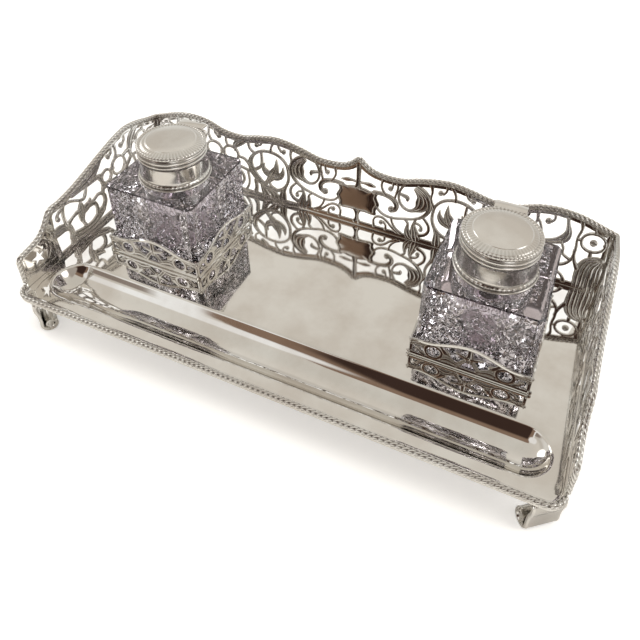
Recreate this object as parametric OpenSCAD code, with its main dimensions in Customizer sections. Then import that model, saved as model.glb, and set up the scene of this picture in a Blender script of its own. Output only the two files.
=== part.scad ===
// Desk inkstand in silver: a footed tray with a pen trough, a pierced gallery on three
// sides, and two square cut-glass inkwells with hinged lids, each in a pierced holder.
// Millimetres. The origin is on the desk, under the middle of the tray. +X runs to the
// right, +Y to the back gallery, +Z up. Heights named "over the floor" start at the
// upper face of the tray floor.

/* [Tray] */
// Distance between the middle planes of the two side galleries
tray_w = 270; // [266:1:276]
// Distance from the front border wire to the middle plane of the back gallery
tray_d = 127; // [125:1:131]
// Height of the upper face of the tray floor above the desk
floor_h = 22; // [19:1:26]
// Thickness of the tray sheet
sheet_t = 1.2; // [1:0.1:1.6]
// Radius of the two front corners, to the middle of the border wire
corner_r = 7; // [6:0.5:8]
// Height of the front border wire's middle over the floor
lip_h = 2; // [1.8:0.1:2.2]

/* [Pen trough] */
// Length of the trough from end to end
trough_l = 256; // [200:2:258]
// Width of the trough at the floor
trough_w = 24; // [20:1:26]
// Depth of the trough below the floor
trough_depth = 6.5; // [5:0.5:8]
// Distance from the tray's middle line forward to the middle of the trough
trough_y = 42; // [40:0.5:43]

/* [Galleries] */
// Thickness of the pierced sheet
gallery_t = 1; // [0.8:0.1:1.2]
// Thickness of the border wire along the galleries and the front
wire_d = 2.6; // [2.2:0.1:3]
// Height of the plain band at the foot of the galleries
base_band = 3.2; // [2.6:0.2:4]
// Width of the plain band under the border wire
rim_band = 2.6; // [1.6:0.2:3]
// Width of the plain band where the back and side galleries meet
corner_band = 3.4; // [2.4:0.2:5]

/* [Holders] */
// Outer width of a holder
holder_w = 56; // [55:0.5:58]
// Thickness of a holder's pierced wall
holder_t = 1; // [0.8:0.1:1.2]
// Height of a holder at its corners, over the floor
holder_h = 11.2; // [10:0.2:12]
// Rise of the arch in the middle of each side of a holder
holder_rise = 5.2; // [4:0.2:6]

/* [Inkwells] */
// Distance from the tray's middle to the middle of an inkwell
well_x = 85.7; // [82:0.1:90]
// Distance from the tray's middle line back to the middle of an inkwell
well_y = 13.2; // [10:0.1:16]
// Width of the square glass block
glass_w = 52.4; // [50:0.2:52.6]
// Height of the glass block over the floor
glass_h = 43.8; // [40:0.2:46]
// Radius of the glass neck inside the collar
neck_r = 13; // [12:0.25:13.5]
// Radius of the mouth that a pen goes through
mouth_r = 9.5; // [8:0.25:11]
// Radius of the ink well inside the block
ink_r = 18; // [15:0.5:20]
// Radius of the silver collar's wall
collar_r = 17; // [16.6:0.1:17.4]
// Height of the joint between the collar and the lid, over the floor
joint_h = 58.5; // [56:0.5:60]
// Height of the lid from the joint to its flat top
lid_h = 6; // [5.4:0.1:7]
// Radius of the lid's flat top
disc_r = 13.6; // [12.5:0.1:14.5]

/* [Lid hinge] */
// Distance from the inkwell's middle back to the hinge axis
hinge_y = 20; // [19.8:0.1:21]
// Outer radius of the hinge knuckles
knuckle_r = 1.9; // [1.7:0.05:2]
// Width of the hinge over all its knuckles
hinge_w = 15; // [12:0.5:16]
// Radius of the hinge pin
pin_r = 0.7; // [0.6:0.05:0.9]

/* [Feet] */
// Width of a foot's strip
foot_w = 13; // [11:0.5:14]
// Thickness of a foot's strip
foot_t = 1.8; // [1.4:0.1:2.2]
// Outer radius of the scroll that a foot stands on
scroll_r = 5; // [4:0.25:5.5]

/* [Hidden] */
$fn = 64;

silver = "Gainsboro";
glass = "LightSteelBlue";

half_w = tray_w / 2;
half_d = tray_d / 2;
wire_r = wire_d / 2;
// The side gallery stops where the front corner starts
post_y = -half_d + corner_r;
side_l = half_d - post_y;
// Play between the lid's rim and the collar, on each side of the joint
play = 0.05;
// Play of the pin in the lid's knuckle; the collar's knuckles grip it
pin_play = 0.05;

// The top line of the back gallery, from the pointed crest to the right end: the middle
// of the border wire, as distance from the crest and height over the floor.
crest_line = [[0, 47], [2.6, 44.4], [5.5, 41.9], [10, 39.8], [18, 38.8], [26, 39.4],
    [36, 42.4], [50, 44.9], [62, 43.4], [72, 41], [80, 40.6], [88, 42], [97, 45.3],
    [107, 46.5], [118, 45.2], [128, 42], [135, 39.6]];

// The top line of a side gallery, from the back corner to the foot of the front post:
// distance behind the post and height over the floor.
side_line = [[120, 39.6], [110.6, 42.2], [100.6, 45.3], [90.6, 46.9], [80.6, 45.7],
    [70.6, 43], [60.6, 40], [50.6, 37], [40.6, 34.4], [31.6, 33], [27, 33],
    [24, 31.4], [21.4, 28.2], [18.4, 24.8], [14.6, 22.3], [9.6, 20.8], [4, 20],
    [1.4, 19.2], [0, 17.2], [0, 12], [0, 3.3]];

// Curves

// One point of a smooth curve that runs from b to c, with a and d as its neighbours
function curve_point(a, b, c, d, t) =
    0.5 * (2 * b + (c - a) * t + (2 * a - 5 * b + 4 * c - d) * t * t
    + (3 * b - a - 3 * c + d) * t * t * t);

// A smooth curve through all points of a list, with n steps between two of them
function flow(c, n = 2) = concat(
    [for (i = [0:len(c) - 2], k = [0:n - 1])
        curve_point(c[max(i - 1, 0)], c[i], c[i + 1], c[min(i + 2, len(c) - 1)], k / n)],
    [c[len(c) - 1]]);

function flat(p) = [p[0], p[1]];
function unit(v) = v / norm(v);
function turned(v) = [-v[1], v[0]];

// The sideways direction at point i, long enough to keep a parallel line's distance
function sideways(p, i) =
    let (before = unit(flat(p[max(i, 1)]) - flat(p[max(i, 1) - 1])),
        after = unit(flat(p[min(i, len(p) - 2) + 1]) - flat(p[min(i, len(p) - 2)])),
        middle = unit(before + after))
    turned(middle) / (middle * before);

// A line parallel to p, at distance d to its left
function parallel(p, d) = [for (i = [0:len(p) - 1]) flat(p[i]) + d * sideways(p, i)];

function backwards(p) = [for (i = [len(p) - 1:-1:0]) p[i]];

// A spiral round [x, y] as ribbon points, from radius r0 and angle a0 to r1 and a1
function spiral(x, y, r0, r1, a0, a1, w0, w1, n = 12) = [for (i = [0:n])
    let (t = i / n, r = r0 + (r1 - r0) * t, a = a0 + (a1 - a0) * t)
    [x + r * cos(a), y + r * sin(a), w0 + (w1 - w0) * t]];

// A stroke along ribbon points [x, y, width], round at both ends
module stroke(p) {
    left = [for (i = [0:len(p) - 1]) flat(p[i]) + p[i][2] / 2 * unit(sideways(p, i))];
    right = [for (i = [0:len(p) - 1]) flat(p[i]) - p[i][2] / 2 * unit(sideways(p, i))];
    polygon(concat(left, backwards(right)));
    for (e = [p[0], p[len(p) - 1]]) ball(e[0], e[1], e[2] / 2);
}

module scroll(c) stroke(flow(c));

module ball(x, y, r) translate([x, y]) circle(r = r, $fn = 10);

module ring(x, y, r, w = 1.1) translate([x, y]) difference() {
    circle(r = r + w / 2, $fn = 24);
    circle(r = r - w / 2, $fn = 24);
}

// A round wire along a flat path, with eight flat sides
module wire(p) {
    n = len(p);
    corner = wire_r / cos(22.5);
    points = [for (i = [0:n - 1], k = [0:7])
        let (s = flat(p[i]) + corner * cos(22.5 + 45 * k) * sideways(p, i))
        [s[0], s[1], corner * sin(22.5 + 45 * k)]];
    sides = [for (i = [0:n - 2], k = [0:7])
        let (a = 8 * i + k, b = 8 * i + (k + 1) % 8)
        each [[a, a + 8, b], [b, a + 8, b + 8]]];
    start = [for (k = [1:6]) [0, k, k + 1]];
    end = [for (k = [1:6]) [8 * n - 8, 8 * n - 8 + k + 1, 8 * n - 8 + k]];
    polyhedron(points, concat(sides, start, end));
}

// Galleries

crest_half = [for (p = crest_line) [p[0] * tray_w / 270, p[1]]];
crest_right = flow(crest_half);
crest_path = concat(
    [for (p = backwards(crest_right)) [-p[0], p[1]]],
    [for (i = [1:len(crest_right) - 1]) crest_right[i]]);
side_path = flow([for (p = side_line) [min(p[0] * side_l / 119.8, side_l), p[1]]], 2);

// The plain outline under a border wire that runs from left to right
module outline_under(path) {
    under = parallel(path, -wire_r);
    polygon(concat(under, [[under[len(under) - 1][0], 0], [under[0][0], 0]]));
}

// The plain band that follows a border wire
module band_under(path) {
    polygon(concat(parallel(path, -wire_r + 0.01),
        backwards(parallel(path, -wire_r - rim_band))));
}

// Joins strokes that only just touch
module joined() offset(delta = 0.01) children();

// Takes a drawing in n bays from x0 to x1, so that each of them stays light
module bays(x0, x1, n) for (i = [0:n - 1]) offset(delta = 0) intersection() {
    children();
    translate([x0 + i * (x1 - x0) / n, 0]) square([(x1 - x0) / n, 60]);
}

// Scrollwork beside the crest, right of the middle
module crest_scrolls() {
    scroll([[1.2, 30.7, 1.1], [3.6, 30.9, 1.3], [6.6, 30.7, 2.5], [8.6, 30.4, 1.7], [10.4, 30.2, 0.3]]);
    // Wide shoulder from the cartouche, curled in at its end
    scroll([[9.5, 26.4, 2.6], [13, 26.9, 2.4], [17, 26.6, 2.6], [21, 25.1, 3.1], [23.2, 21.8, 2.9],
        [22.7, 18.6, 2.6], [20.9, 17.4, 2.6]]);
    ball(20.3, 17.9, 2);
    // Big round scroll and the long line under it
    scroll([[34.4, 37.6, 2.6], [38.4, 35, 3.2], [41.2, 30.8, 3.2], [42, 26, 2.8], [40.6, 21.4, 2.4],
        [37.4, 17.6, 1.9], [33.2, 15.2, 1.4], [28, 13.7, 1.3], [22.8, 12.3, 1.3], [17.6, 12.3, 1.3],
        [13.6, 14.3, 1.3], [11.4, 17.6, 1.3]]);
    scroll([[33.4, 35.6, 2.6], [36.6, 32.4, 5.4], [37.8, 28.2, 8.2], [36.6, 24.4, 6.6], [34, 22, 3],
        [30.8, 20.5, 1.7], [27.4, 21.5, 1.6], [25, 24.5, 1.4], [24, 28.6, 1.4], [24.7, 33, 1.4],
        [27, 38, 1.9]]);
    scroll([[22.4, 30.4, 1.2], [25.6, 29.9, 1.7], [28.9, 28.9, 2.6], [29.2, 27, 1.4]]);
    // Hooks under the rim
    scroll([[14.6, 37.4, 1.9], [13.7, 33, 1.3], [14.6, 29.6, 1.3], [16.6, 26.8, 1.3]]);
    scroll([[20.4, 37.4, 1.7], [20.3, 34.4, 1.2], [20, 32.4, 1.2]]);
    ball(19, 31.8, 1.5);
    scroll([[22.6, 37.6, 1.7], [23.2, 34, 1.3], [22.6, 30, 1.3], [21.8, 26, 1.3]]);
    // Curls over the base
    scroll([[10.8, 2.6, 1.7], [10.3, 7, 1.3], [12, 10, 1.3], [15.4, 10.4, 1.3], [18.6, 8.3, 1.3],
        [21.2, 5.5, 1.3], [25, 2.8, 1.9]]);
    scroll([[17.8, 2.6, 1.6], [17.8, 5.6, 1.2], [16.2, 7.4, 1.2]]);
    ball(14.9, 6.8, 1.4);
    scroll([[20.6, 12.4, 1.3], [21.6, 8.6, 1.3], [24, 5, 1.3], [27, 2.8, 1.9]]);
    scroll([[28.4, 13.9, 1.3], [30.7, 11.4, 1.4], [30.5, 8, 2.4], [31, 5, 4], [32, 2.6, 4.4]]);
    scroll([[35.6, 2.6, 6.6], [35, 6, 5.1], [34.2, 9.6, 3.3], [34.2, 12.6, 1.7], [35.4, 16.4, 1.4]]);
    scroll([[39, 18, 1.4], [42.2, 14, 1.7], [42.8, 9.8, 1.8], [40.8, 6.4, 1.9], [37.4, 4.8, 2.4]]);
    scroll([[34.2, 13.2, 1.3], [37.4, 12.4, 1.2], [38.9, 10.4, 1.4]]);
    ball(38.4, 9.3, 1.3);
}

// The large ring with its leaf spray
module ring_scrolls() {
    scroll([[43.9, 22, 1.8], [44.9, 28.2, 1.7], [49, 33, 1.7], [55.2, 35, 1.7], [61.8, 34, 1.8],
        [66.8, 30.4, 2.2], [69.4, 25, 3.2], [68.4, 19, 4.2], [64.8, 13.8, 4.2], [60.4, 10, 3.4],
        [55.4, 8, 2.4],
        [50, 9.2, 2.2], [46, 13.2, 2], [44.1, 18.2, 1.8], [43.9, 22, 1.8]]);
    // Leaf spray in the ring
    scroll([[61.4, 9.8, 2.2], [58, 13.6, 3], [55.6, 17, 5], [53.6, 20.8, 6], [52, 25, 3.4],
        [51.8, 30.6, 0.6]]);
    scroll([[56, 18.6, 4.6], [59, 20.2, 4.4], [60.6, 23.2, 2.4], [59.8, 26.2, 0.6]]);
    scroll([[53, 17.6, 4.2], [49.8, 19.2, 4.2], [47.8, 22.4, 2.6], [47.6, 26.2, 0.6]]);
    scroll([[61.8, 33.6, 1.6], [61.5, 28, 1.7], [62.2, 23.4, 2], [65.6, 20.4, 2.4]]);
    scroll([[52.6, 8.8, 1.6], [55.6, 10.4, 1.4], [56.8, 12.4, 1.4]]);
    // Struts and hooks between the ring and the rim
    scroll([[55.2, 34.6, 1.9], [55, 38.4, 1.3], [52.8, 43, 2.2]]);
    scroll([[50.2, 42.8, 1.7], [49.9, 39.6, 1.3], [48.4, 37.2, 1.2]]);
    ball(46.8, 37.5, 1.5);
    scroll([[60.4, 41.6, 1.7], [61.6, 38.8, 1.3], [63.2, 37.6, 1.2]]);
    ball(64.5, 37.6, 1.5);
    scroll([[44.4, 26.4, 1.4], [42, 32, 1.3], [42.4, 37, 1.4], [41.4, 41.6, 2.4]]);
    scroll([[66.2, 31.2, 1.6], [69.4, 34, 1.4], [70.2, 38.4, 1.9]]);
    // Leaves over the base
    scroll([[48, 2.6, 4.8], [48, 6, 4.6], [47.4, 9.8, 3], [46, 13, 2]]);
    scroll([[52.4, 2.6, 5.4], [54, 5, 5], [56.6, 7.4, 4]]);
    scroll([[59.6, 2.6, 5], [60.6, 5.4, 4], [61.8, 9, 3]]);
    scroll([[67, 2.6, 3.4], [66, 6.6, 2.4], [66.4, 12, 2.4]]);
}

// Rings, tendrils and a wide leaf between the ring and the end
module middle_scrolls() {
    scroll([[71, 40, 3.3], [74.4, 38.2, 5.5], [77.6, 35.4, 5.1], [79.6, 32.4, 2.9], [79.4, 29.8, 1.4]]);
    ring(82.6, 27, 5, 1.6);
    ring(94.2, 27.2, 5.2, 1.6);
    scroll([[87.4, 27, 1.9], [89.4, 27, 1.9]]);
    scroll([[84.4, 31.2, 1.4], [85.6, 35.6, 1.3], [84.4, 40.6, 1.9]]);
    scroll([[95.4, 32, 1.4], [97.4, 36.4, 1.3], [97, 42.6, 2.2]]);
    scroll([[92.6, 43, 1.7], [93, 39.4, 1.2], [91.6, 37.4, 1.2]]);
    ball(90.3, 37.2, 1.7);
    scroll([[70.4, 22, 1.7], [73.4, 25.4, 1.6], [77.8, 26, 1.4]]);
    scroll([[70.2, 17.4, 1.7], [74.4, 18.6, 1.6], [79, 19.6, 1.6], [82.2, 22, 1.6]]);
    // Two scrolls that face each other over the base
    scroll([[80.4, 2.6, 2.6], [76.6, 6, 1.9], [74.4, 10.6, 1.8], [76, 15, 1.7], [80.2, 16.4, 1.6],
        [83, 13.6, 1.7], [81.6, 10.6, 1.9]]);
    ball(80.4, 10.6, 1.9);
    scroll([[93.8, 2.6, 2.6], [98, 6, 1.9], [99.8, 10.6, 1.8], [98.2, 15.4, 1.7], [94, 17.2, 1.6],
        [90.6, 14.6, 1.7], [91.6, 11, 1.9]]);
    ball(92.8, 10.8, 1.9);
    scroll([[87.2, 2.6, 3.3], [87.2, 6.6, 2.6], [87, 12, 3.1], [87.2, 16.6, 2.4], [87.4, 21, 1.4],
        [86.4, 24.4, 1.4]]);
    scroll([[73.6, 2.6, 1.9], [71.6, 6.4, 1.4], [70.8, 11, 1.4], [71.6, 17.8, 1.6]]);
}

// Scrollwork at the end, which keeps its distance from the corner
module end_scrolls() {
    scroll([[98.8, 25, 1.7], [103.6, 25.4, 2.4], [108.4, 27, 3.6], [112.2, 30, 5], [113.4, 34.4, 3.6],
        [112.4, 38.6, 2], [111.6, 42.4, 1.8]]);
    scroll([[105.2, 44, 1.7], [105.6, 40.2, 1.2], [104.2, 38, 1.2]]);
    ball(102.8, 38, 1.7);
    scroll([[101.4, 26, 1.4], [100.6, 31.6, 1.3], [99, 36, 1.3], [97.4, 38, 1.3]]);
    scroll([[118, 43.6, 2.4], [119.2, 38.4, 1.6], [118.2, 32, 1.4], [118.8, 25, 1.6], [118, 17.4, 1.6],
        [113.8, 12.8, 1.7], [109, 13.8, 1.7], [107.8, 17.6, 1.8]]);
    ball(109.3, 18.8, 1.8);
    scroll([[110.4, 29, 1.6], [113, 24, 1.4], [113.6, 20, 1.4], [117.6, 17.4, 1.4]]);
    scroll([[102.4, 25, 1.7], [101.6, 18.8, 1.7], [103.4, 12, 1.7], [105.4, 7, 1.9], [105.6, 2.6, 2.9]]);
    scroll([[99.4, 12, 1.7], [101.4, 15, 1.6], [102, 18.4, 1.6]]);
    scroll([[104, 10.8, 1.4], [108, 9, 1.4], [112, 8.2, 1.4], [115.6, 6, 1.4], [117.4, 2.6, 2.4]]);
    // Four-lobed flower in a ring
    ring(126, 31.6, 5.8, 1.4);
    for (a = [45:90:315]) translate([126, 31.6]) rotate(a)
        stroke(spiral(0, 0, 1, 5.6, 0, 0, 2.2, 1.1, 2));
    ball(126, 31.6, 1.9);
    scroll([[118.4, 31.6, 1.4], [120.6, 31.6, 1.4]]);
    scroll([[131.2, 31.6, 1.7], [133, 31.6, 2.2]]);
    scroll([[126, 37, 1.4], [125.4, 39.4, 1.4], [123.4, 42.6, 2.2]]);
    scroll([[126, 26, 1.6], [126.2, 23, 2.2]]);
    // Shell of two wide leaves, rounded at its top
    scroll([[124.6, 2.6, 6], [124.4, 9, 6.6], [124.6, 15, 6.4], [126.4, 19.4, 5], [129.8, 21.8, 3.4],
        [132.8, 22, 2.4]]);
    scroll([[130.4, 2.6, 7], [130.2, 10, 7], [130.2, 15.6, 6.2], [131.6, 19.4, 3.6]]);
    scroll([[118.4, 24, 1.6], [119.6, 18, 1.8], [122, 13, 2.4]]);
}

module cartouche() {
    half = flow([[0, 27.8], [4, 27.2], [7.2, 26.3], [9.6, 27.6], [11, 26], [10.2, 23.6], [11, 21],
        [12, 18.4], [11, 15.8], [10.2, 13.2], [10.6, 11], [8.4, 10.2], [4, 10.7], [0, 10.3]], 2);
    polygon(half);
    polygon([[-1.6, 43.6], [0, 45.4], [1.6, 43.6], [1.4, 38], [1.3, 31], [2.4, 27], [-2.4, 27],
        [-1.3, 31], [-1.4, 38]]);
    polygon([[-2.6, 3], [2.6, 3], [1.2, 5], [1.2, 8.4], [2.6, 10.8], [-2.6, 10.8], [-1.2, 8.4], [-1.2, 5]]);
}

module back_half_scrolls() {
    cartouche();
    crest_scrolls();
    ring_scrolls();
    middle_scrolls();
    translate([half_w - 135, 0]) end_scrolls();
}

module back_piercing() bays(-half_w, half_w, 12) intersection() {
    outline_under(crest_path);
    joined() {
        band_under(crest_path);
        translate([-half_w, 0]) square([tray_w, base_band]);
        for (s = [-1, 1]) scale([s, 1]) {
            translate([half_w - corner_band, 0]) square([corner_band, 50]);
            back_half_scrolls();
        }
    }
}

// Scrollwork of a side gallery, by distance behind the front post
module side_scrolls() {
    front_panel();
    // Curl in the shoulder's opening
    scroll([[34.2, 15.6, 2.4], [33.4, 21, 1.8], [33.6, 26, 1.8], [34.8, 30, 3]]);
    scroll([[33, 27.8, 1.6], [30.4, 26.6, 1.4], [28.9, 24.6, 1.4]]);
    ball(29.4, 23.6, 1.5);
    // Broad joins between the openings
    scroll([[24.6, 16.4, 5.4], [29, 16.6, 6], [33, 15.4, 4.4], [36, 12.4, 3.2], [36.4, 8, 3.8],
        [36, 3, 4.6]]);
    scroll([[36, 7, 4.4], [41, 5.6, 5], [47, 4.6, 4.4], [52, 4.6, 4.4], [57, 6.2, 5], [61.4, 8.4, 4.6]]);
    scroll([[36, 13, 3], [35.6, 16, 2.4], [38.6, 18, 1.8], [42, 18.8, 2.2], [45, 18.4, 2.4]]);
    // Leaf spray in two lobes
    scroll([[46.8, 7, 2], [45.8, 10, 1.8], [45.2, 12.4, 3], [45.8, 16, 5], [46.2, 20, 4.4],
        [47, 23.6, 0.8]]);
    scroll([[45.4, 15.8, 3], [49.4, 17.4, 4.6], [52, 18.6, 4], [54, 21, 0.9]]);
    scroll([[52, 17.4, 3], [56, 16.4, 2.6], [57.6, 12.8, 2], [57.2, 9, 2.6]]);
    scroll([[55.6, 18, 1.8], [60, 19.6, 1.8], [64, 17.6, 2.4], [64.6, 12.4, 2.8], [62, 8.6, 3]]);
    scroll([[64, 18.6, 2.2], [65.4, 22.4, 2.4], [64.6, 26.6, 2.2], [62.4, 30, 3]]);
    scroll([[52.8, 30.4, 2], [51.8, 26.8, 1.8], [50, 24.2, 1.8], [47.4, 24.2, 1.8], [43.4, 26.6, 1.6],
        [39.6, 28.6, 1.6], [35.4, 29.6, 2]]);
    // Wide leaf under the rim and the line of rings behind it
    scroll([[67, 39.6, 3], [63, 36.6, 5], [58.6, 34, 6.8], [54, 32.6, 6.4], [48, 31.6, 4.4],
        [42, 31, 3]]);
    scroll([[65, 29.8, 2], [59, 30.4, 3.2], [54, 30.2, 2.6]]);
    ring(69.4, 26.4, 4, 1.7);
    ring(80.4, 27.6, 5.6, 1.7);
    scroll([[73.4, 28.4, 2.4], [75.6, 28.2, 2.4]]);
    scroll([[76.6, 41.8, 2], [76.2, 38.8, 1.5], [74.6, 37.2, 1.4]]);
    ball(73.4, 37.2, 1.6);
    scroll([[78.4, 32.6, 1.8], [80, 36.8, 1.6], [79.4, 42.6, 2.4]]);
    scroll([[88.6, 43.6, 1.8], [88.2, 40.2, 1.4], [86.4, 38.4, 1.4]]);
    ball(85, 38.4, 1.7);
    scroll([[85, 31.2, 2], [88.4, 32.4, 2], [91.8, 31.6, 2.2]]);
    scroll([[99, 43, 3.4], [95, 39.4, 5.1], [92.4, 35, 4.6], [91.2, 30.6, 2.9], [92.2, 27, 1.6]]);
    // Long line under the rings
    scroll([[111.6, 30, 1.7], [106.6, 27.4, 1.8], [101, 26.2, 1.7], [96, 26.8, 1.7], [91.6, 27, 2],
        [87.4, 23.4, 2.2], [82, 20.6, 2.4], [76, 20.4, 2.4], [70, 20.8, 2.6], [64.6, 20.8, 2.6]]);
    scroll([[75.4, 20.6, 1.7], [73, 16, 1.7], [74.6, 11.4, 1.7], [79, 9.8, 1.7], [81.8, 12.8, 1.7]]);
    ball(80.7, 14.2, 1.9);
    scroll([[69.6, 2.6, 3], [71.2, 7, 2], [74.2, 11.8, 1.7]]);
    scroll([[84, 21.4, 1.7], [87.6, 17, 1.7], [89.6, 11, 1.8], [87.4, 6.6, 1.8], [82.8, 2.6, 2.9]]);
    scroll([[89.6, 12, 1.7], [93.4, 9.2, 1.7], [98, 8.4, 1.7], [101.6, 11, 1.7]]);
    ball(101.6, 12.6, 1.9);
    scroll([[96.6, 8.6, 1.7], [97.4, 2.6, 2.9]]);
    scroll([[93.6, 27, 1.7], [95.4, 21, 1.7], [100.2, 17.6, 1.8], [105.8, 18, 1.8], [108.8, 13.6, 1.8],
        [107.6, 8, 1.8], [104.4, 2.6, 2.8]]);
    ring(102.6, 34, 4.6, 1.7);
    scroll([[103.4, 29.6, 1.7], [104.4, 27, 1.7]]);
    scroll([[98.2, 34.6, 1.8], [94.6, 35.6, 2.3]]);
    scroll([[104.4, 38.2, 1.7], [106.6, 42, 2.3]]);
    scroll([[107, 34.2, 1.7], [111, 35.4, 1.7], [117, 34.6, 2.3]]);
    scroll([[111.4, 30.4, 1.7], [113.6, 25.6, 1.7], [117.4, 23.6, 2.3]]);
    scroll([[108.6, 12.6, 1.7], [112.4, 15.4, 1.7], [117.4, 14.6, 2.3]]);
}

// The low front end: a plain panel with a star-shaped opening
star_at = [11.6, 11.6];
star_r = 5;
star_waist = 1.9;
star_tilt = 20;

module front_panel() difference() {
    polygon([[0, 0], [26.6, 0], [25.8, 6], [25.2, 14], [25.4, 20], [25.8, 26], [28.6, 32], [28, 40],
        [0, 40]]);
    translate(star_at) polygon([for (i = [0:9])
        (i % 2 == 0 ? star_r : star_waist) * [cos(36 * i + star_tilt), sin(36 * i + star_tilt)]]);
}

module side_piercing() bays(0, side_l, 6) intersection() {
    side_outline();
    joined() {
        side_band();
        square([side_l, base_band]);
        translate([side_l - corner_band, 0]) square([corner_band, 50]);
        side_scrolls();
    }
}

// The side path runs towards the front, so its left is below
module side_outline() {
    under = parallel(side_path, wire_r);
    bottom = under[len(under) - 1][0];
    intersection() {
        polygon(concat(under, [[bottom, 0], [side_l, 0]]));
        square([side_l - gallery_t / 2, 60]);
    }
}

module side_band() {
    polygon(concat(parallel(side_path, wire_r - 0.01), backwards(parallel(side_path, wire_r + rim_band))));
}

// Stands a drawing of height and length up as a sheet in the plane y = 0
module upright(t) rotate([90, 0, 0]) linear_extrude(t, center = true) children();

// Stands a side gallery's drawing up behind the post at x = 0
module sideways_sheet(t) rotate([90, 0, 90]) linear_extrude(t, center = true) children();

module back_gallery() color(silver)
    translate([0, half_d, floor_h]) upright(gallery_t) back_piercing();

module side_gallery(s) color(silver)
    translate([s * half_w, post_y, floor_h]) sideways_sheet(gallery_t) side_piercing();

module back_border() color(silver)
    translate([0, half_d, floor_h]) rotate([90, 0, 0]) wire(backwards(crest_path));

module side_border(s) color(silver)
    translate([s * half_w, post_y, floor_h]) rotate([90, 0, 90]) wire(side_wire_path());

// The side wire stops against the back wire
function side_wire_path() = concat([[side_l - wire_r, 39.6]],
    [for (p = side_path) if (p[0] < side_l - wire_r - 1) p]);

// Tray

trough_r = (trough_w * trough_w / 4 + trough_depth * trough_depth) / (2 * trough_depth);
trough_axis_h = floor_h + trough_r - trough_depth;
trough_end = (trough_l - trough_w) / 2;

module capsule(r) translate([0, -trough_y, trough_axis_h]) {
    rotate([0, 90, 0]) cylinder(r = r, h = 2 * trough_end, center = true);
    for (s = [-1, 1]) translate([s * trough_end, 0, 0]) sphere(r = r);
}

// The front lip in section: distance outwards from the corner's centre, and height
// over the floor. It rises into a cradle that holds the border wire.
module lip_section() difference() {
    polygon([[0, -sheet_t], [corner_r - 0.5, -sheet_t], [corner_r + 0.7, -0.3], [corner_r + 0.7, 1],
        [corner_r - 0.6, lip_h], [corner_r - 1.25, lip_h - 0.3], [corner_r - 1.8, 0.8],
        [corner_r - 2.8, 0.2], [corner_r - 4.4, 0], [0, 0]]);
    translate([corner_r, lip_h]) circle(r = wire_r);
}

module tray() color(silver) difference() {
    union() {
        translate([-half_w - 1, post_y, floor_h - sheet_t]) cube([tray_w + 2, side_l + 1, sheet_t]);
        front_run() lip_section();
        intersection() {
            capsule(trough_r + sheet_t);
            translate([-half_w, -trough_y - trough_w, floor_h - 20]) cube([tray_w, 2 * trough_w, 20]);
        }
    }
    capsule(trough_r);
}

// Runs a section along the front and round both front corners
module front_run() {
    translate([0, post_y, floor_h]) {
        rotate([90, 0, -90]) linear_extrude(tray_w - 2 * corner_r, center = true) children();
        translate([half_w - corner_r, 0, 0]) rotate(-90) rotate_extrude(angle = 90) children();
        translate([corner_r - half_w, 0, 0]) rotate(180) rotate_extrude(angle = 90) children();
    }
}

module front_border() color(silver) {
    front_run() translate([corner_r, lip_h]) circle(r = wire_r);
    for (s = [-1, 1]) translate([s * half_w, post_y, floor_h + lip_h]) sphere(r = wire_r);
}

// Feet

foot_pad_z = floor_h - sheet_t - foot_t / 2;
bend = scroll_r - foot_t / 2;
// The scroll's strip gets narrower on its way in: its turn, and its last radius and width
scroll_turn = 440;
scroll_in = 1.3;
scroll_end_w = 1;
// What the strip's outer side has lost a quarter turn in, where the scroll is lowest
scroll_loss = 90 / scroll_turn * (bend - scroll_in + (foot_t - scroll_end_w) / 2);
foot_cut = 0.2;
scroll_z = scroll_r - scroll_loss - foot_cut;

// The foot's strip from the side: distance outwards along the corner's diagonal, and height
module foot_profile() {
    leg = [[-5, foot_pad_z], [-1, foot_pad_z], [2.4, foot_pad_z - 0.2], [4.6, foot_pad_z - 1.6],
        [5, foot_pad_z - 4.6], [4.2, foot_pad_z - 8.2], [3.9, scroll_z + 3.4], [bend, scroll_z]];
    intersection() {
        union() {
            stroke([for (p = flow(leg, 4)) [p[0], p[1], foot_t]]);
            stroke(spiral(0, scroll_z, bend, scroll_in, 0, -scroll_turn, foot_t, scroll_end_w, 30));
            ball(0, scroll_z, 1.1);
        }
        translate([-20, 0]) square([40, floor_h - sheet_t]);
    }
}

module foot(sx, sy) color(silver)
    translate([sx * (half_w - corner_r), sy * (half_d - corner_r), 0])
        rotate(atan2(sy, sx)) upright(foot_w) joined() foot_profile();

// Holders

function arch(u) = holder_h + (abs(u) < 22 ? holder_rise * (1 + cos(180 * u / 22)) / 2 : 0);

arch_line = [for (u = [-holder_w / 2, for (v = [-22:2:22]) v, holder_w / 2]) [u, arch(u)]];

module holder_outline(drop) {
    polygon(concat([for (p = arch_line) [p[0], p[1] - drop]], [[holder_w / 2, 0], [-holder_w / 2, 0]]));
}

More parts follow.
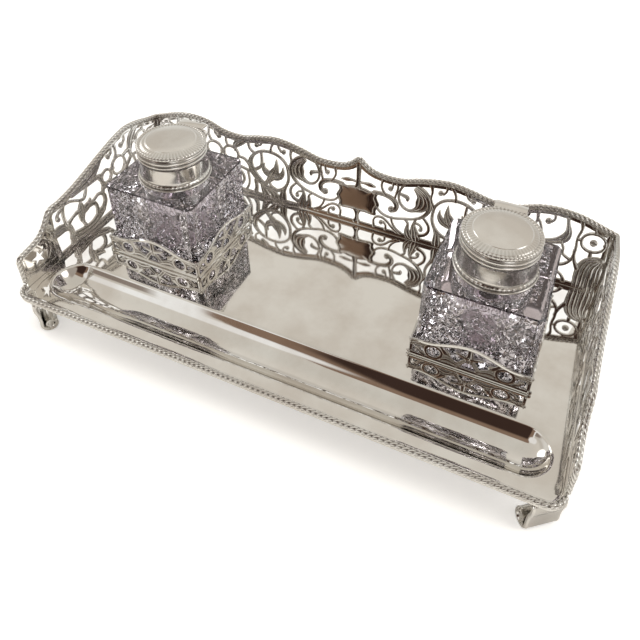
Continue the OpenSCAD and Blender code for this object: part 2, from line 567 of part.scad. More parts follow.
module holder_scrolls() {
    scroll([[0, 15.6, 2.8], [0, 12, 2.6], [0, 9.8, 3.8], [0, 8, 3]]);
    scroll([[0.6, 9, 2.2], [2.9, 6.4, 2], [5.4, 2.6, 2.6]]);
    scroll([[0.6, 9.6, 1.8], [3.4, 10.2, 1.6], [6.2, 11.3, 0.8]]);
    scroll([[4.6, 3.2, 2.6], [7.2, 4, 3.8], [10, 4.6, 4.8], [12.2, 3.8, 3.4]]);
    ball(10.8, 8, 2.3);
    scroll([[11, 8.4, 2.4], [12.8, 10.6, 1.8], [14, 12.4, 1.8]]);
    ring(16.5, 6.6, 3.9, 1.6);
    scroll([[14.4, 11.2, 2.2], [18, 11.2, 2], [22, 10, 2.6], [27, 9.6, 2.6]]);
    scroll([[20.6, 7.4, 2.4], [21.8, 8.8, 2.6], [24.6, 8.8, 1.6], [27, 8, 1.8]]);
    scroll([[20.2, 3, 3.2], [22.6, 4.2, 1.6], [23.6, 5.4, 1.4]]);
    ball(23.8, 5.8, 1.4);
}

module holder_piercing() bays(-holder_w / 2, holder_w / 2, 2) intersection() {
    holder_outline(0);
    joined() {
        difference() {
            holder_outline(0);
            holder_outline(1.3);
        }
        translate([-holder_w / 2, 0]) square([holder_w, base_band - 0.4]);
        for (s = [-1, 1]) scale([s, 1]) {
            translate([holder_w / 2 - 1.6, 0]) square([1.6, holder_h]);
            holder_scrolls();
        }
    }
}

module holder(s) color(silver) translate([s * well_x, well_y, floor_h]) {
    // Two opposite walls at a time, with the room between them taken out
    for (a = [0, 90]) rotate(a) difference() {
        upright(holder_w) holder_piercing();
        cube([holder_w + 2, holder_w - 2 * holder_t, 60], center = true);
    }
    // The rolled edge stands a little proud of each wall
    for (a = [0:90:270]) rotate(a) translate([0, holder_t / 2 - holder_w / 2, 0])
        upright(holder_t + 0.8) holder_edge();
}

module holder_edge() intersection() {
    translate([0.4 - holder_w / 2, 0]) square([holder_w - 0.8, 30]);
    polygon(concat([for (p = arch_line) p], backwards([for (p = arch_line) [p[0], p[1] - 1]])));
}

// Inkwells

function well_at(s) = [s * well_x, well_y, floor_h];

module turned_part(outline) rotate_extrude($fn = 96) polygon(outline);

module bottle(s) color(glass) translate(well_at(s)) difference() {
    union() {
        glass_block();
        translate([0, 0, glass_h - 1]) cylinder(r = neck_r, h = joint_h - 3 - glass_h + 1);
    }
    // Ink well, with a rounded foot and a shoulder up to the mouth
    turned_part([[0, 7], [ink_r - 6, 7], [ink_r - 2.6, 8.2], [ink_r - 0.7, 10.4], [ink_r, 13], [ink_r, 31],
        [ink_r - 1.6, 35], [mouth_r + 1.4, glass_h - 3], [mouth_r, glass_h - 1], [mouth_r, joint_h],
        [0, joint_h]]);
}

edge_cut = 2.2;

// The width between opposite upright edges, which are cut off flat
across_edges = (glass_w - edge_cut) * sqrt(2);

module glass_block() intersection() {
    translate([0, 0, glass_h / 2]) cube([glass_w, glass_w, glass_h], center = true);
    rotate(45) translate([0, 0, glass_h / 2]) cube([across_edges, across_edges, glass_h + 2], center = true);
    // The edges round the flat top are bevelled
    for_both() rotate([90, 0, 0]) linear_extrude(glass_w + 2, center = true)
        polygon([[-glass_w / 2, 0], [glass_w / 2, 0], [glass_w / 2, glass_h - 1.4],
            [glass_w / 2 - 1.4, glass_h],
            [1.4 - glass_w / 2, glass_h], [-glass_w / 2, glass_h - 1.4]]);
}

module for_both() intersection() {
    children();
    rotate(90) children();
}

module neck_plaster(s) color("Snow") translate(well_at(s))
    turned_part([[neck_r, glass_h + 1.2], [collar_r - 1.2, glass_h + 1.2], [collar_r - 1.2, joint_h - 3],
        [neck_r, joint_h - 3]]);

// Silver collar over the neck: a flange on the glass, a beaded foot, a plain wall,
// and a moulded shelf that the lid closes on.
module collar(s) color(silver) translate(well_at(s)) {
    top = joint_h - play;
    turned_part([[neck_r, glass_h], [19.4, glass_h], [19.5, glass_h + 0.5], [18.9, glass_h + 1],
        [collar_r + 0.6, glass_h + 1.2], [collar_r + 0.5, glass_h + 3.2], [collar_r, glass_h + 4.4],
        [collar_r, top - 2.6],
        [collar_r + 0.3, top - 2.2], [collar_r + 0.7, top - 1.5], [collar_r + 0.7, top - 0.7],
        [collar_r + 0.2, top],
        [mouth_r, top], [mouth_r, top - 2.95], [collar_r - 1.2, top - 2.95],
        [collar_r - 1.2, glass_h + 1.2],
        [neck_r, glass_h + 1.2]]);
    translate([0, 0, glass_h + 2.1]) rotate_extrude($fn = 96)
        translate([collar_r + 0.9, 0]) circle(r = 1, $fn = 24);
}

// The lid is a shallow box with a moulded rim, a sloped shoulder and a raised flat disc
module lid(s) color(silver) translate(well_at(s)) translate([0, 0, joint_h]) {
    turned_part([[collar_r - 1.4, play], [collar_r + 0.2, play], [collar_r + 0.7, 0.7],
        [collar_r + 0.7, 1.5],
        [collar_r + 0.2, 2.2], [collar_r - 0.2, 2.6], [collar_r - 0.2, lid_h - 2.2],
        [collar_r - 0.8, lid_h - 1.2],
        [disc_r + 0.8, lid_h - 0.5], [disc_r + 0.2, lid_h], [0, lid_h], [0, lid_h - 1.2],
        [disc_r, lid_h - 1.6], [collar_r - 1.6, lid_h - 2.6]]);
}

// The bead ring's round section, at its height over the joint
module bead_torus() translate([0, 0, lid_h - 2.1]) rotate_extrude($fn = 96)
    translate([collar_r - 0.2, 0]) circle(r = 1.2, $fn = 24);

module lid_bead_ring(s) color(silver) translate(well_at(s)) translate([0, 0, joint_h + lid_h - 2.1])
    difference() {
        translate([0, 0, 2.1 - lid_h]) bead_torus();
        turned_part([[0, -3], [collar_r - 0.2, -3], [collar_r - 0.2, -0.1], [collar_r - 0.8, 0.9],
            [disc_r, 1.7], [0, 3]]);
    }

// Hinge

centre_w = hinge_w / 3;
leaf_gap = 0.1;

module at_hinge(s) translate(well_at(s)) translate([0, hinge_y, joint_h]) children();

module bar(r, w, x = 0) translate([x, 0, 0]) rotate([0, 90, 0]) cylinder(r = r, h = w, center = true);

module collar_knuckles(s) color(silver) at_hinge(s) {
    side_w = (hinge_w - centre_w) / 2 - leaf_gap;
    for (x = [-1, 1]) translate([x * (centre_w / 2 + leaf_gap + side_w / 2), 0, 0]) difference() {
        union() {
            bar(knuckle_r, side_w);
            translate([-side_w / 2, -4.5, -knuckle_r - 0.6]) cube([side_w, 4.5 + 0.6, knuckle_r + 0.35]);
        }
        bar(pin_r, side_w + 1);
        // The block is hollowed to sit on the collar's round wall
        translate([-x * (centre_w / 2 + leaf_gap + side_w / 2), -hinge_y, -10])
            cylinder(r = collar_r + 0.7, h = 20, $fn = 96);
    }
    // A strap under the middle knuckle joins the two
    difference() {
        translate([-hinge_w / 2, -4.5, -knuckle_r - 0.6]) cube([hinge_w, 4.5 + 0.6, 0.5]);
        translate([0, -hinge_y, -10]) cylinder(r = collar_r + 0.7, h = 20, $fn = 96);
    }
}

module hinge_pin(s) color("Silver") at_hinge(s) bar(pin_r, hinge_w + 0.6);

// The lid's leaf: a flat tab level with the lid, a web, and the middle knuckle
module lid_leaf(s) color(silver) at_hinge(s) difference() {
    union() {
        bar(knuckle_r, centre_w);
        translate([-centre_w / 2, -4.5, 0.4]) cube([centre_w, 4.5 + 1, lid_h - 2.4]);
        translate([-hinge_w / 2, -5.6, lid_h - 2.6]) cube([hinge_w, 5.6 + knuckle_r, 1.6]);
    }
    bar(pin_r + pin_play, centre_w + 1);
    // It fits round the lid's rim and its bead ring
    translate([0, -hinge_y, -5]) cylinder(r = collar_r + 0.7, h = 20, $fn = 96);
    translate([0, -hinge_y, 0]) bead_torus();
}

tray();
front_border();
back_gallery();
side_gallery(-1);  // left_gallery
side_gallery(1);  // right_gallery
back_border();
side_border(-1);  // left_border
side_border(1);  // right_border
foot(-1, -1);  // front_left_foot
foot(1, -1);  // front_right_foot
foot(-1, 1);  // back_left_foot
foot(1, 1);  // back_right_foot
holder(-1);  // left_holder
holder(1);  // right_holder
bottle(-1);  // left_bottle
bottle(1);  // right_bottle
neck_plaster(-1);  // left_neck_plaster
neck_plaster(1);  // right_neck_plaster
collar(-1);  // left_collar
collar(1);  // right_collar
collar_knuckles(-1);  // left_collar_knuckles
collar_knuckles(1);  // right_collar_knuckles
hinge_pin(-1);  // left_hinge_pin
hinge_pin(1);  // right_hinge_pin
lid(-1);  // left_lid
lid(1);  // right_lid
lid_bead_ring(-1);  // left_lid_bead_ring
lid_bead_ring(1);  // right_lid_bead_ring
lid_leaf(-1);  // left_lid_leaf
lid_leaf(1);  // right_lid_leaf
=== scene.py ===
# %% [markdown]
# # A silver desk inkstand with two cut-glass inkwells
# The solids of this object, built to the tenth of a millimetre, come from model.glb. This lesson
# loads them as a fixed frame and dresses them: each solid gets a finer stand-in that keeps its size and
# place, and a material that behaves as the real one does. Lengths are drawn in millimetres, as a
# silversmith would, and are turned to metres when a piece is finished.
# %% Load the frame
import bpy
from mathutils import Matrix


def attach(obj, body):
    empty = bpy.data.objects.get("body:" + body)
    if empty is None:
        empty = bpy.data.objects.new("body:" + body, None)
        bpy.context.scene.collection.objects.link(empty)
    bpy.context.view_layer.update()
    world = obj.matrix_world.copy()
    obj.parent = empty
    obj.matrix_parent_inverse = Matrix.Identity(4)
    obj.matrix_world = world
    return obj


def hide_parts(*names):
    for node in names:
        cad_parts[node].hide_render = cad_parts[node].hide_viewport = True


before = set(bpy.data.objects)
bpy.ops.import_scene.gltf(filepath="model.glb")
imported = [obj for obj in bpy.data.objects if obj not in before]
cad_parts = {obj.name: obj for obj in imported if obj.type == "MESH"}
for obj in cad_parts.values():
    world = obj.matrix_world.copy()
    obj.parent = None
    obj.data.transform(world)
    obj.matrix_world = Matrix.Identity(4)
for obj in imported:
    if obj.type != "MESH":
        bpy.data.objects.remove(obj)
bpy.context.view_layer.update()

import math
import random
from math import copysign, cos, pi, sin, tau

import bmesh
import bpy
from mathutils import Matrix, Vector

MM = 0.001
print("solids loaded:", len(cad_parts))

# %% [markdown]
# ## Measures
# The stand's own drawing gives these. The origin lies on the desk under the middle of the tray, x runs
# to the right, y to the back gallery and z up. Heights in the drawings of the pierced sheets start at
# the tray floor.
# %% Measures of the stand
FLOOR = 22.0
HALF_W = 135.0
HALF_D = 63.5
CORNER_R = 7.0
POST_Y = CORNER_R - HALF_D
SIDE_L = HALF_D - POST_Y
SHEET = 1.0
WIRE_R = 1.3
LIP = 2.0
WELLS = {"left": -85.7, "right": 85.7}
WELL_Y = 13.2

# %% [markdown]
# ## Helpers for shaping
# Most pieces here are long and thin: wires, ribbons of scrollwork, mouldings. A simple way to model
# these is to start from a flat grid and to lay it round or along a line, as paper is rolled. Each
# corner also keeps a number from 0 to 1, "groove", for how deep it lies in a recess. The metals read
# it later to gather tarnish where a polishing cloth doesn't reach. The crystal reads it as a painted
# shade along its block's top edge.
# %% Grids that are bent into shape
def new_mesh():
    """An empty bmesh with the groove value ready."""
    bm = bmesh.new()
    bm.verts.layers.float.new("groove")
    return bm


def bent_grid(bm, columns, rows, place):
    """Adds a grid of columns by rows faces. place(u, v) gives x, y, z and groove for u and v from 0 to 1."""
    verts = bmesh.ops.create_grid(bm, x_segments=columns, y_segments=rows, size=0.5)["verts"]
    groove = bm.verts.layers.float["groove"]
    for vert in verts:
        x, y, z, depth = place(vert.co.x + 0.5, vert.co.y + 0.5)
        vert.co = x, y, z
        vert[groove] = depth
    return verts


def smooth_path(points, steps):
    """A smooth curve through all points, with the same number of steps between each two."""
    last = len(points) - 1
    path = []
    for i in range(last):
        a, b, c, d = (Vector(points[k]) for k in (max(i - 1, 0), i, i + 1, min(i + 2, last)))
        for k in range(steps):
            t = k / steps
            path.append(0.5 * (2 * b + (c - a) * t + (2 * a - 5 * b + 4 * c - d) * t * t
                               + (3 * b - a - 3 * c + d) * t ** 3))
    return path + [Vector(points[last])]


def even_path(path, gap):
    """The same path with its points an even distance apart, close to gap."""
    lengths = [(b - a).length for a, b in zip(path, path[1:])]
    count = max(2, round(sum(lengths) / gap))
    step = sum(lengths) / count
    even = [path[0].copy()]
    gone, want = 0.0, step
    for a, b, length in zip(path, path[1:], lengths):
        while want <= gone + length and len(even) < count:
            even.append(a.lerp(b, (want - gone) / length))
            want += step
        gone += length
    return even + [path[-1].copy()]


def headings(path):
    """The direction of a path at each of its points."""
    last = len(path) - 1
    return [(path[min(i + 1, last)] - path[max(i - 1, 0)]).normalized() for i in range(last + 1)]


# %% [markdown]
# A finished bmesh becomes one object of the stand. Doubles are merged so that seams and poles close,
# the normals are turned outwards, and only real edges stay sharp.
# %% Finish a piece
def finish_piece(name, bm, body, nodes, material, sharp=40, outwards=True):
    """Makes an object called name from bm, which moves with body and stands for the solids in nodes."""
    bmesh.ops.remove_doubles(bm, verts=bm.verts, dist=0.004)
    bmesh.ops.dissolve_degenerate(bm, dist=0.001, edges=bm.edges)
    if outwards:
        bmesh.ops.recalc_face_normals(bm, faces=bm.faces)
    bmesh.ops.scale(bm, vec=(MM, MM, MM), verts=bm.verts)
    mesh = bpy.data.meshes.new(name)
    bm.to_mesh(mesh)
    bm.free()
    mesh.shade_smooth()
    mesh.set_sharp_from_angle(angle=math.radians(sharp))
    mesh.materials.append(material)
    piece = bpy.data.objects.new(name, mesh)
    bpy.context.scene.collection.objects.link(piece)
    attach(piece, body)
    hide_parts(*nodes)
    print(f"{name}: {len(mesh.polygons)} faces")
    return piece


# %% [markdown]
# ## Materials
# A material is a small tree of nodes. One function adds a node with its settings and its links, and
# another turns the usual sRGB colour codes into the linear values that the shader expects.
# %% Colours and nodes
def linear(code):
    """Turns an sRGB colour such as "#e8e4dc" into linear red, green, blue and 1."""
    parts = [int(code[i:i + 2], 16) / 255 for i in (1, 3, 5)]
    return (*(p / 12.92 if p <= 0.04045 else ((p + 0.055) / 1.055) ** 2.4 for p in parts), 1.0)


def add(tree, kind, settings=None, **values):
    """Adds a node of a kind. Values go to the inputs of that name, and a socket as a value is linked."""
    node = tree.nodes.new(kind)
    for name, value in (settings or {}).items():
        setattr(node, name, value)
    for name, value in values.items():
        place = int(name[1:]) if name[0] == "i" and name[1:].isdigit() else name.replace("_", " ")
        if isinstance(value, bpy.types.NodeSocket):
            tree.links.new(value, node.inputs[place])
        else:
            node.inputs[place].default_value = value
    return node


def new_material(name):
    """An empty node material and its tree."""
    material = bpy.data.materials.new(name)
    material.use_nodes = True
    material.node_tree.nodes.clear()
    return material, material.node_tree


# %% [markdown]
# Sterling silver is the palest of metals: it gives back over nine tenths of the light with a faint
# warmth, and what one sees is mostly the room. Hand polishing leaves soft cloudy smears a few
# centimetres long and hair scratches, and a brown film of tarnish stays in the recesses. So the base
# colour is nearly white, the roughness is low and wanders a little, and the groove value brings in the
# tarnish. The real hair scratches are some hundredths of a millimetre wide; here they are drawn about
# 0.3 mm apart, because finer ones would not show.
# %% Silver
def silver(name, shine=0.09, smear=0.05, tarnish=0.8, ripple=0.0, warmth="#e8e6e1"):
    """Polished sterling silver. ripple is the height of its unevenness in millimetres."""
    material, tree = new_material(name)
    place = add(tree, "ShaderNodeTexCoord").outputs["Object"]
    cloud = add(tree, "ShaderNodeTexNoise", Vector=place, Scale=38.0, Detail=4.0, Roughness=0.55)
    grain = add(tree, "ShaderNodeMapping", Vector=place, Rotation=(0.0, 0.0, 0.6), Scale=(0.25, 1.0, 1.0))
    hair = add(tree, "ShaderNodeTexNoise", Vector=grain.outputs[0], Scale=2600.0, Detail=2.0)
    groove = add(tree, "ShaderNodeAttribute", {"attribute_name": "groove"})
    film = add(tree, "ShaderNodeMath", {"operation": "MULTIPLY", "use_clamp": True},
               i0=groove.outputs["Fac"], i1=tarnish)
    patch = add(tree, "ShaderNodeMapRange", Value=cloud.outputs["Fac"], i1=0.38, i2=0.62, i3=0.0, i4=1.0)
    fresh = add(tree, "ShaderNodeMixRGB", Fac=patch.outputs[0], Color1=linear(warmth),
                Color2=linear("#dad5ce"))
    colour = add(tree, "ShaderNodeMixRGB", Fac=film.outputs[0], Color1=fresh.outputs[0],
                 Color2=linear("#564c40"))
    soft = add(tree, "ShaderNodeMapRange", Value=cloud.outputs["Fac"], i1=0.35, i2=0.7, i3=shine,
               i4=shine + smear)
    fine = add(tree, "ShaderNodeMath", {"operation": "MULTIPLY_ADD"}, i0=hair.outputs["Fac"], i1=0.025,
               i2=soft.outputs[0])
    rough = add(tree, "ShaderNodeMath", {"operation": "MULTIPLY_ADD", "use_clamp": True},
                i0=film.outputs[0], i1=0.3, i2=fine.outputs[0])
    shader = add(tree, "ShaderNodeBsdfPrincipled", Base_Color=colour.outputs[0], Metallic=1.0,
                 Roughness=rough.outputs[0])
    if ripple:
        wave = add(tree, "ShaderNodeTexNoise", Vector=place, Scale=95.0, Detail=1.0)
        bump = add(tree, "ShaderNodeBump", Height=wave.outputs["Fac"], Distance=ripple * MM, Strength=1.0)
        tree.links.new(bump.outputs[0], shader.inputs["Normal"])
    add(tree, "ShaderNodeOutputMaterial", Surface=shader.outputs[0])
    return material


SHEET_SILVER = silver("rolled sterling sheet, hand polished", shine=0.025, smear=0.035, ripple=0.011)
PIERCED_SILVER = silver("saw-pierced and chased sterling", shine=0.03, smear=0.04, tarnish=1.0)
ROPE_SILVER = silver("twisted sterling wire", shine=0.12, tarnish=1.0)
CAST_SILVER = silver("cast and filed sterling", shine=0.05, ripple=0.06)
SPUN_SILVER = silver("spun sterling, buffed", shine=0.12, smear=0.06, tarnish=0.9)
PIN_SILVER = silver("drawn sterling wire", shine=0.2)

# %% [markdown]
# Lead crystal bends light strongly, with an IOR near 1.55, and is as smooth as its polish. Old
# blocks carry a trace of lilac from the manganese that glassmakers used to clear the melt. The cut
# faces are real geometry further down, so the shader stays plain, apart from a painted shade along
# the block's top edge.
# %% Crystal and plaster
def crystal():
    """Cut and polished lead crystal with a faint lilac colour, a little haze from its many cuts, and a painted shade
    along the block's top edge.
    """
    material, tree = new_material("cut lead crystal")
    place = add(tree, "ShaderNodeTexCoord").outputs["Object"]
    cord = add(tree, "ShaderNodeTexNoise", Vector=place, Scale=60.0, Detail=3.0)
    clear = add(tree, "ShaderNodeMixRGB", Fac=cord.outputs["Fac"], Color1=linear("#f6f3f6"),
                Color2=linear("#e6e0e8"))
    # The groove value is 1 only in a thin band along the block's top edge. There the colour is darkened towards
    # #4c444a, a painted shade.
    groove = add(tree, "ShaderNodeAttribute", {"attribute_name": "groove"})
    lilac_and_edge_shade = add(tree, "ShaderNodeMixRGB", Fac=groove.outputs["Fac"], Color1=clear.outputs[0],
               Color2=linear("#4c444a"))
    rough = add(tree, "ShaderNodeMapRange", Value=cord.outputs["Fac"], i1=0.3, i2=0.8, i3=0.0, i4=0.02)
    shader = add(tree, "ShaderNodeBsdfPrincipled", Base_Color=lilac_and_edge_shade.outputs[0], Roughness=rough.outputs[0],
                 IOR=1.55, Transmission_Weight=0.98)
    add(tree, "ShaderNodeOutputMaterial", Surface=shader.outputs[0])
    return material


def plaster():
    """Set plaster between glass and collar: chalky, off-white, with small pores."""
    material, tree = new_material("cast plaster of Paris")
    place = add(tree, "ShaderNodeTexCoord").outputs["Object"]
    pores = add(tree, "ShaderNodeTexNoise", Vector=place, Scale=900.0, Detail=4.0)
    tone = add(tree, "ShaderNodeMixRGB", Fac=pores.outputs["Fac"], Color1=linear("#e9e4d8"),
               Color2=linear("#cfc8b8"))
    bump = add(tree, "ShaderNodeBump", Height=pores.outputs["Fac"], Distance=0.05 * MM, Strength=0.6)
    shader = add(tree, "ShaderNodeBsdfPrincipled", Base_Color=tone.outputs[0], Roughness=0.85,
                 Normal=bump.outputs[0])
    add(tree, "ShaderNodeOutputMaterial", Surface=shader.outputs[0])
    return material


CRYSTAL = crystal()
PLASTER = plaster()

# %% [markdown]
# ## The tray
# The tray is one sheet: a flat floor, a long pen trough pressed into it, and a front lip that dishes
# up to the border wire. The trough is a half round channel with a ball-shaped end, so its half
# profile is spun half a turn at one end, drawn out along the tray, and spun again at the other.
# The rim of a pressed trough is always soft, which is why the profile ends in a small round.
# %% Pen trough
TROUGH_Y = -42.0
TROUGH_END = 116.0
TROUGH_R = 14.327
TROUGH_AXIS = FLOOR + TROUGH_R - 6.5


def trough_profile():
    """Points from the bottom of the trough out to the flat floor: distance from its middle, height."""
    rim = 2.6
    # The small round touches the bowl and the floor
    reach = TROUGH_R + rim
    drop = TROUGH_AXIS - (FLOOR - rim)
    out = math.sqrt(reach * reach - drop * drop)
    low = math.atan2(drop, out)
    bowl = [(TROUGH_R * sin(a), TROUGH_AXIS - TROUGH_R * cos(a))
            for a in (i / 14 * (pi / 2 - low) for i in range(15))]
    lip = [(out - rim * cos(a), FLOOR - rim + rim * sin(a))
           for a in (low + i / 7 * (pi / 2 - low) for i in range(1, 8))]
    return bowl + lip


def trough(bm):
    """Adds the trough's inner face and returns its outline on the floor."""
    profile = trough_profile()
    start = [bm.verts.new((TROUGH_END, TROUGH_Y + r, z)) for r, z in profile]
    edges = [bm.edges.new(pair) for pair in zip(start, start[1:])]
    turned = bmesh.ops.spin(bm, geom=start + edges, cent=(TROUGH_END, TROUGH_Y, 0), axis=(0, 0, 1),
                            dvec=(0, 0, 0), angle=-pi, steps=28, use_merge=False, use_duplicate=False)
    last = [g for g in turned["geom_last"] if isinstance(g, bmesh.types.BMEdge)]
    for first in (edges, last):
        drawn = bmesh.ops.extrude_edge_only(bm, edges=first)["geom"]
        moved = [g for g in drawn if isinstance(g, bmesh.types.BMVert)]
        bmesh.ops.translate(bm, vec=(-2 * TROUGH_END, 0, 0), verts=moved)
        if first is edges:
            far = moved + [g for g in drawn if isinstance(g, bmesh.types.BMEdge)]
    bmesh.ops.spin(bm, geom=far, cent=(-TROUGH_END, TROUGH_Y, 0), axis=(0, 0, 1), dvec=(0, 0, 0), angle=pi,
                   steps=28, use_merge=False, use_duplicate=False)
    bmesh.ops.remove_doubles(bm, verts=bm.verts, dist=0.01)
    return [e for e in bm.edges if e.is_boundary]


# %% [markdown]
# The flat floor is the space between the trough's outline and the tray's own edge. The triangle fill
# operator takes both outlines and fills what lies between them, which suits a flat sheet.
# %% Floor and lip
def corner_row(x, offset, turns=10):
    """Points round one front corner at a distance from its centre, from the side to the front."""
    sign = copysign(1, x)
    centre = Vector((sign * (HALF_W - CORNER_R), POST_Y))
    return [centre + offset * Vector((sign * cos(i / turns * pi / 2), -sin(i / turns * pi / 2)))
            for i in range(turns + 1)]


def front_row(offset):
    """The whole front line from left to right at a distance from the corners' centres."""
    return corner_row(-1, offset) + corner_row(1, offset)[::-1]


LIP_SECTION = [(2.2, -1.0), (6.4, -1.25), (7.5, -0.7), (7.8, 0.2), (7.6, 1.0), (7.0, 1.1), (6.0, 1.4), (5.6, 1.5),
               (5.2, 0.8), (4.2, 0.22), (3.2, 0.02), (2.2, -0.02)]


def tray():
    bm = new_mesh()
    rim = trough(bm)
    front = front_row(3.0)
    outline = [Vector((-HALF_W - 1, HALF_D + 1)), Vector((-HALF_W - 1, POST_Y))] + front
    outline += [Vector((HALF_W + 1, POST_Y)), Vector((HALF_W + 1, HALF_D + 1))]
    verts = [bm.verts.new((p.x, p.y, FLOOR)) for p in outline]
    edge = [bm.edges.new(pair) for pair in zip(verts, verts[1:] + verts[:1])]
    bmesh.ops.triangle_fill(bm, edges=rim + edge, use_beauty=True, use_dissolve=False, normal=(0, 0, 1))
    bmesh.ops.recalc_face_normals(bm, faces=bm.faces)
    up = sum(f.normal.z * f.calc_area() for f in bm.faces)
    if up < 0:
        bmesh.ops.reverse_faces(bm, faces=bm.faces)
    bmesh.ops.solidify(bm, geom=bm.faces, thickness=1.2)
    section = smooth_path([(r, z) for r, z in LIP_SECTION], 3)
    line = front_row(0.0)
    rows = [front_row(p.x) for p in section]

    def place(u, v):
        along, across = round(u * (len(line) - 1)), round(v * (len(section) - 1))
        point = rows[across][along]
        return point.x, point.y, FLOOR + section[across].y, 0.0

    bent_grid(bm, len(line) - 1, len(section) - 1, place)
    return finish_piece("tray_sheet", bm, "stand", ["tray"], SHEET_SILVER, sharp=50,
                        outwards=False)


tray()

# %% [markdown]
# ## Rope wire
# The border is a twisted wire. Twisting three round wires gives a section with three lobes that turns
# as it runs, once in each lay. So a grid is rolled round the border's line, and its long rows turn
# with the twist, which keeps the grooves between the strands crisp.
# %% Rope borders
LAY = 7.6


def rope(bm, line, facing, radius=WIRE_R, lay=LAY, hand=1):
    """A three-strand rope along a line. facing is a direction that stands square to the line everywhere."""
    path = even_path(line, 0.42)
    heads = headings(path)
    last = len(path) - 1
    around = 15

    def place(u, v):
        i = round(u * last)
        turn = tau * v + hand * tau * i * 0.42 / lay
        strand = abs(cos(1.5 * tau * v)) ** 0.7
        tip = min(i, last - i)
        close = 1.0 if tip > 2 else (0.02, 0.6, 0.88)[tip]
        r = radius * (0.68 + 0.32 * strand) * close
        side = heads[i].cross(facing)
        point = path[i] + r * (cos(turn) * side + sin(turn) * facing)
        return *point, (1 - strand) ** 1.4

    bent_grid(bm, last, around, place)


def cord_line(bm, line, facing, radius, sides=6):
    """A plain thin wire along a line."""
    heads = headings(line)
    last = len(line) - 1

    def place(u, v):
        i = round(u * last)
        side = heads[i].cross(facing)
        close = 0.02 if i in (0, last) else 1.0
        point = line[i] + radius * close * (cos(tau * v) * side + sin(tau * v) * facing)
        return *point, 0.0

    bent_grid(bm, last, sides, place)


CREST = [(0, 47), (2.6, 44.4), (5.5, 41.9), (10, 39.8), (18, 38.8), (26, 39.4), (36, 42.4), (50, 44.9),
         (62, 43.4), (72, 41), (80, 40.6), (88, 42), (97, 45.3), (107, 46.5), (118, 45.2), (128, 42),
         (135, 39.6), (136.1, 39.1)]
SIDE = [(121.1, 39.2), (120, 39.6), (110.6, 42.2), (100.6, 45.3), (90.6, 46.9), (80.6, 45.7), (70.6, 43), (60.6, 40),
        (50.6, 37), (40.6, 34.4), (31.6, 33), (27, 33), (24, 31.4), (21.4, 28.2), (18.4, 24.8),
        (14.6, 22.3), (9.6, 20.8), (4, 20), (1.4, 19.2), (0, 17.2), (0, 12), (0, 3.3)]


def back_point(x, h, out=0.0):
    """A point of the back gallery's drawing, out millimetres in front of its middle plane."""
    return Vector((x, HALF_D - out, FLOOR + h))


def side_point(sign):
    """The same for a side gallery, whose drawing runs from the front post to the back."""
    return lambda a, h, out=0.0: Vector((sign * (HALF_W - out), POST_Y + a, FLOOR + h))


def below(points, drop):
    """A line that follows another one at a distance below it."""
    heads = headings([Vector(p) for p in points])
    return [Vector(p) + drop * Vector((h.y, -h.x)) for p, h in zip(points, heads)]


def back_border():
    bm = new_mesh()
    half = smooth_path(CREST, 3)
    rope(bm, [back_point(*p) for p in half], Vector((0, -1, 0)), hand=-1)
    for drop, out in ((1.75, 0.55), (1.75, -0.55)):
        cord_line(bm, [back_point(*p, out) for p in below(half, drop)], Vector((0, -1, 0)), 0.42)
    bmesh.ops.bisect_plane(bm, geom=bm.verts[:] + bm.edges[:] + bm.faces[:], dist=0.001, plane_co=(0, 0, 0),
                           plane_no=(-1, 0, 0), clear_outer=True)
    bmesh.ops.mirror(bm, geom=bm.verts[:] + bm.edges[:] + bm.faces[:], axis="X", merge_dist=0.002)
    return finish_piece("back_border_rope", bm, "stand", ["back_border"], ROPE_SILVER)


def side_border(name, sign):
    bm = new_mesh()
    spot = side_point(sign)
    line = smooth_path([(a, h) for a, h in SIDE], 3)
    rope(bm, [spot(*p) for p in line], Vector((-sign, 0, 0)), hand=sign)
    for out in (0.55, -0.55):
        inner = below(line, -1.75)
        inner = [p for p in inner if p.y > 0.5]
        cord_line(bm, [spot(*p, out) for p in inner], Vector((-sign, 0, 0)), 0.42)
    return finish_piece(f"{name}_border_rope", bm, "stand", [f"{name}_border"], ROPE_SILVER)


def front_border():
    bm = new_mesh()
    line = [Vector((p.x, p.y, FLOOR + LIP)) for p in front_row(CORNER_R)]
    rope(bm, line, Vector((0, 0, 1)), hand=1)
    inner = [Vector((p.x, p.y, FLOOR + LIP - 0.45)) for p in front_row(CORNER_R - 1.55)]
    cord_line(bm, inner, Vector((0, 0, 1)), 0.42)
    return finish_piece("front_border_rope", bm, "stand", ["front_border"], ROPE_SILVER)


back_border()
side_border("left", -1)
side_border("right", 1)
front_border()

# %% [markdown]
# ## Pierced scrollwork
# The galleries were cut from sheet with a fine saw and then chased: punches and gravers round off each
# tendril and cut veins into the leaves. A flat sheet with holes would show none of that. Instead each
# tendril is a ribbon of its own, laid along a drawn stroke, with a domed face on both sides and, where
# it widens to a leaf, grooves that run along it. A stroke is a line of text with "x y width" for each
# point. One point alone makes a boss, and "ring x y radius width" makes a ring.
# %% Read the drawings
def strokes(text):
    """The strokes of a drawing as lists of (x, y, width). A line that ends in a comma goes on."""
    rows = text.strip().replace(",\n", ", ").splitlines()
    lines = []
    for row in rows:
        if row.strip().startswith("ring"):
            x, y, r, w = (float(n) for n in row.split()[1:])
            # A little more than a full turn, so that the round ends hide in the ring
            lines.append([(x + r * cos(a), y + r * sin(a), w) for a in (i * tau / 14 for i in range(16))])
        else:
            lines.append([tuple(float(n) for n in point.split()) for point in row.split(",")])
    return lines


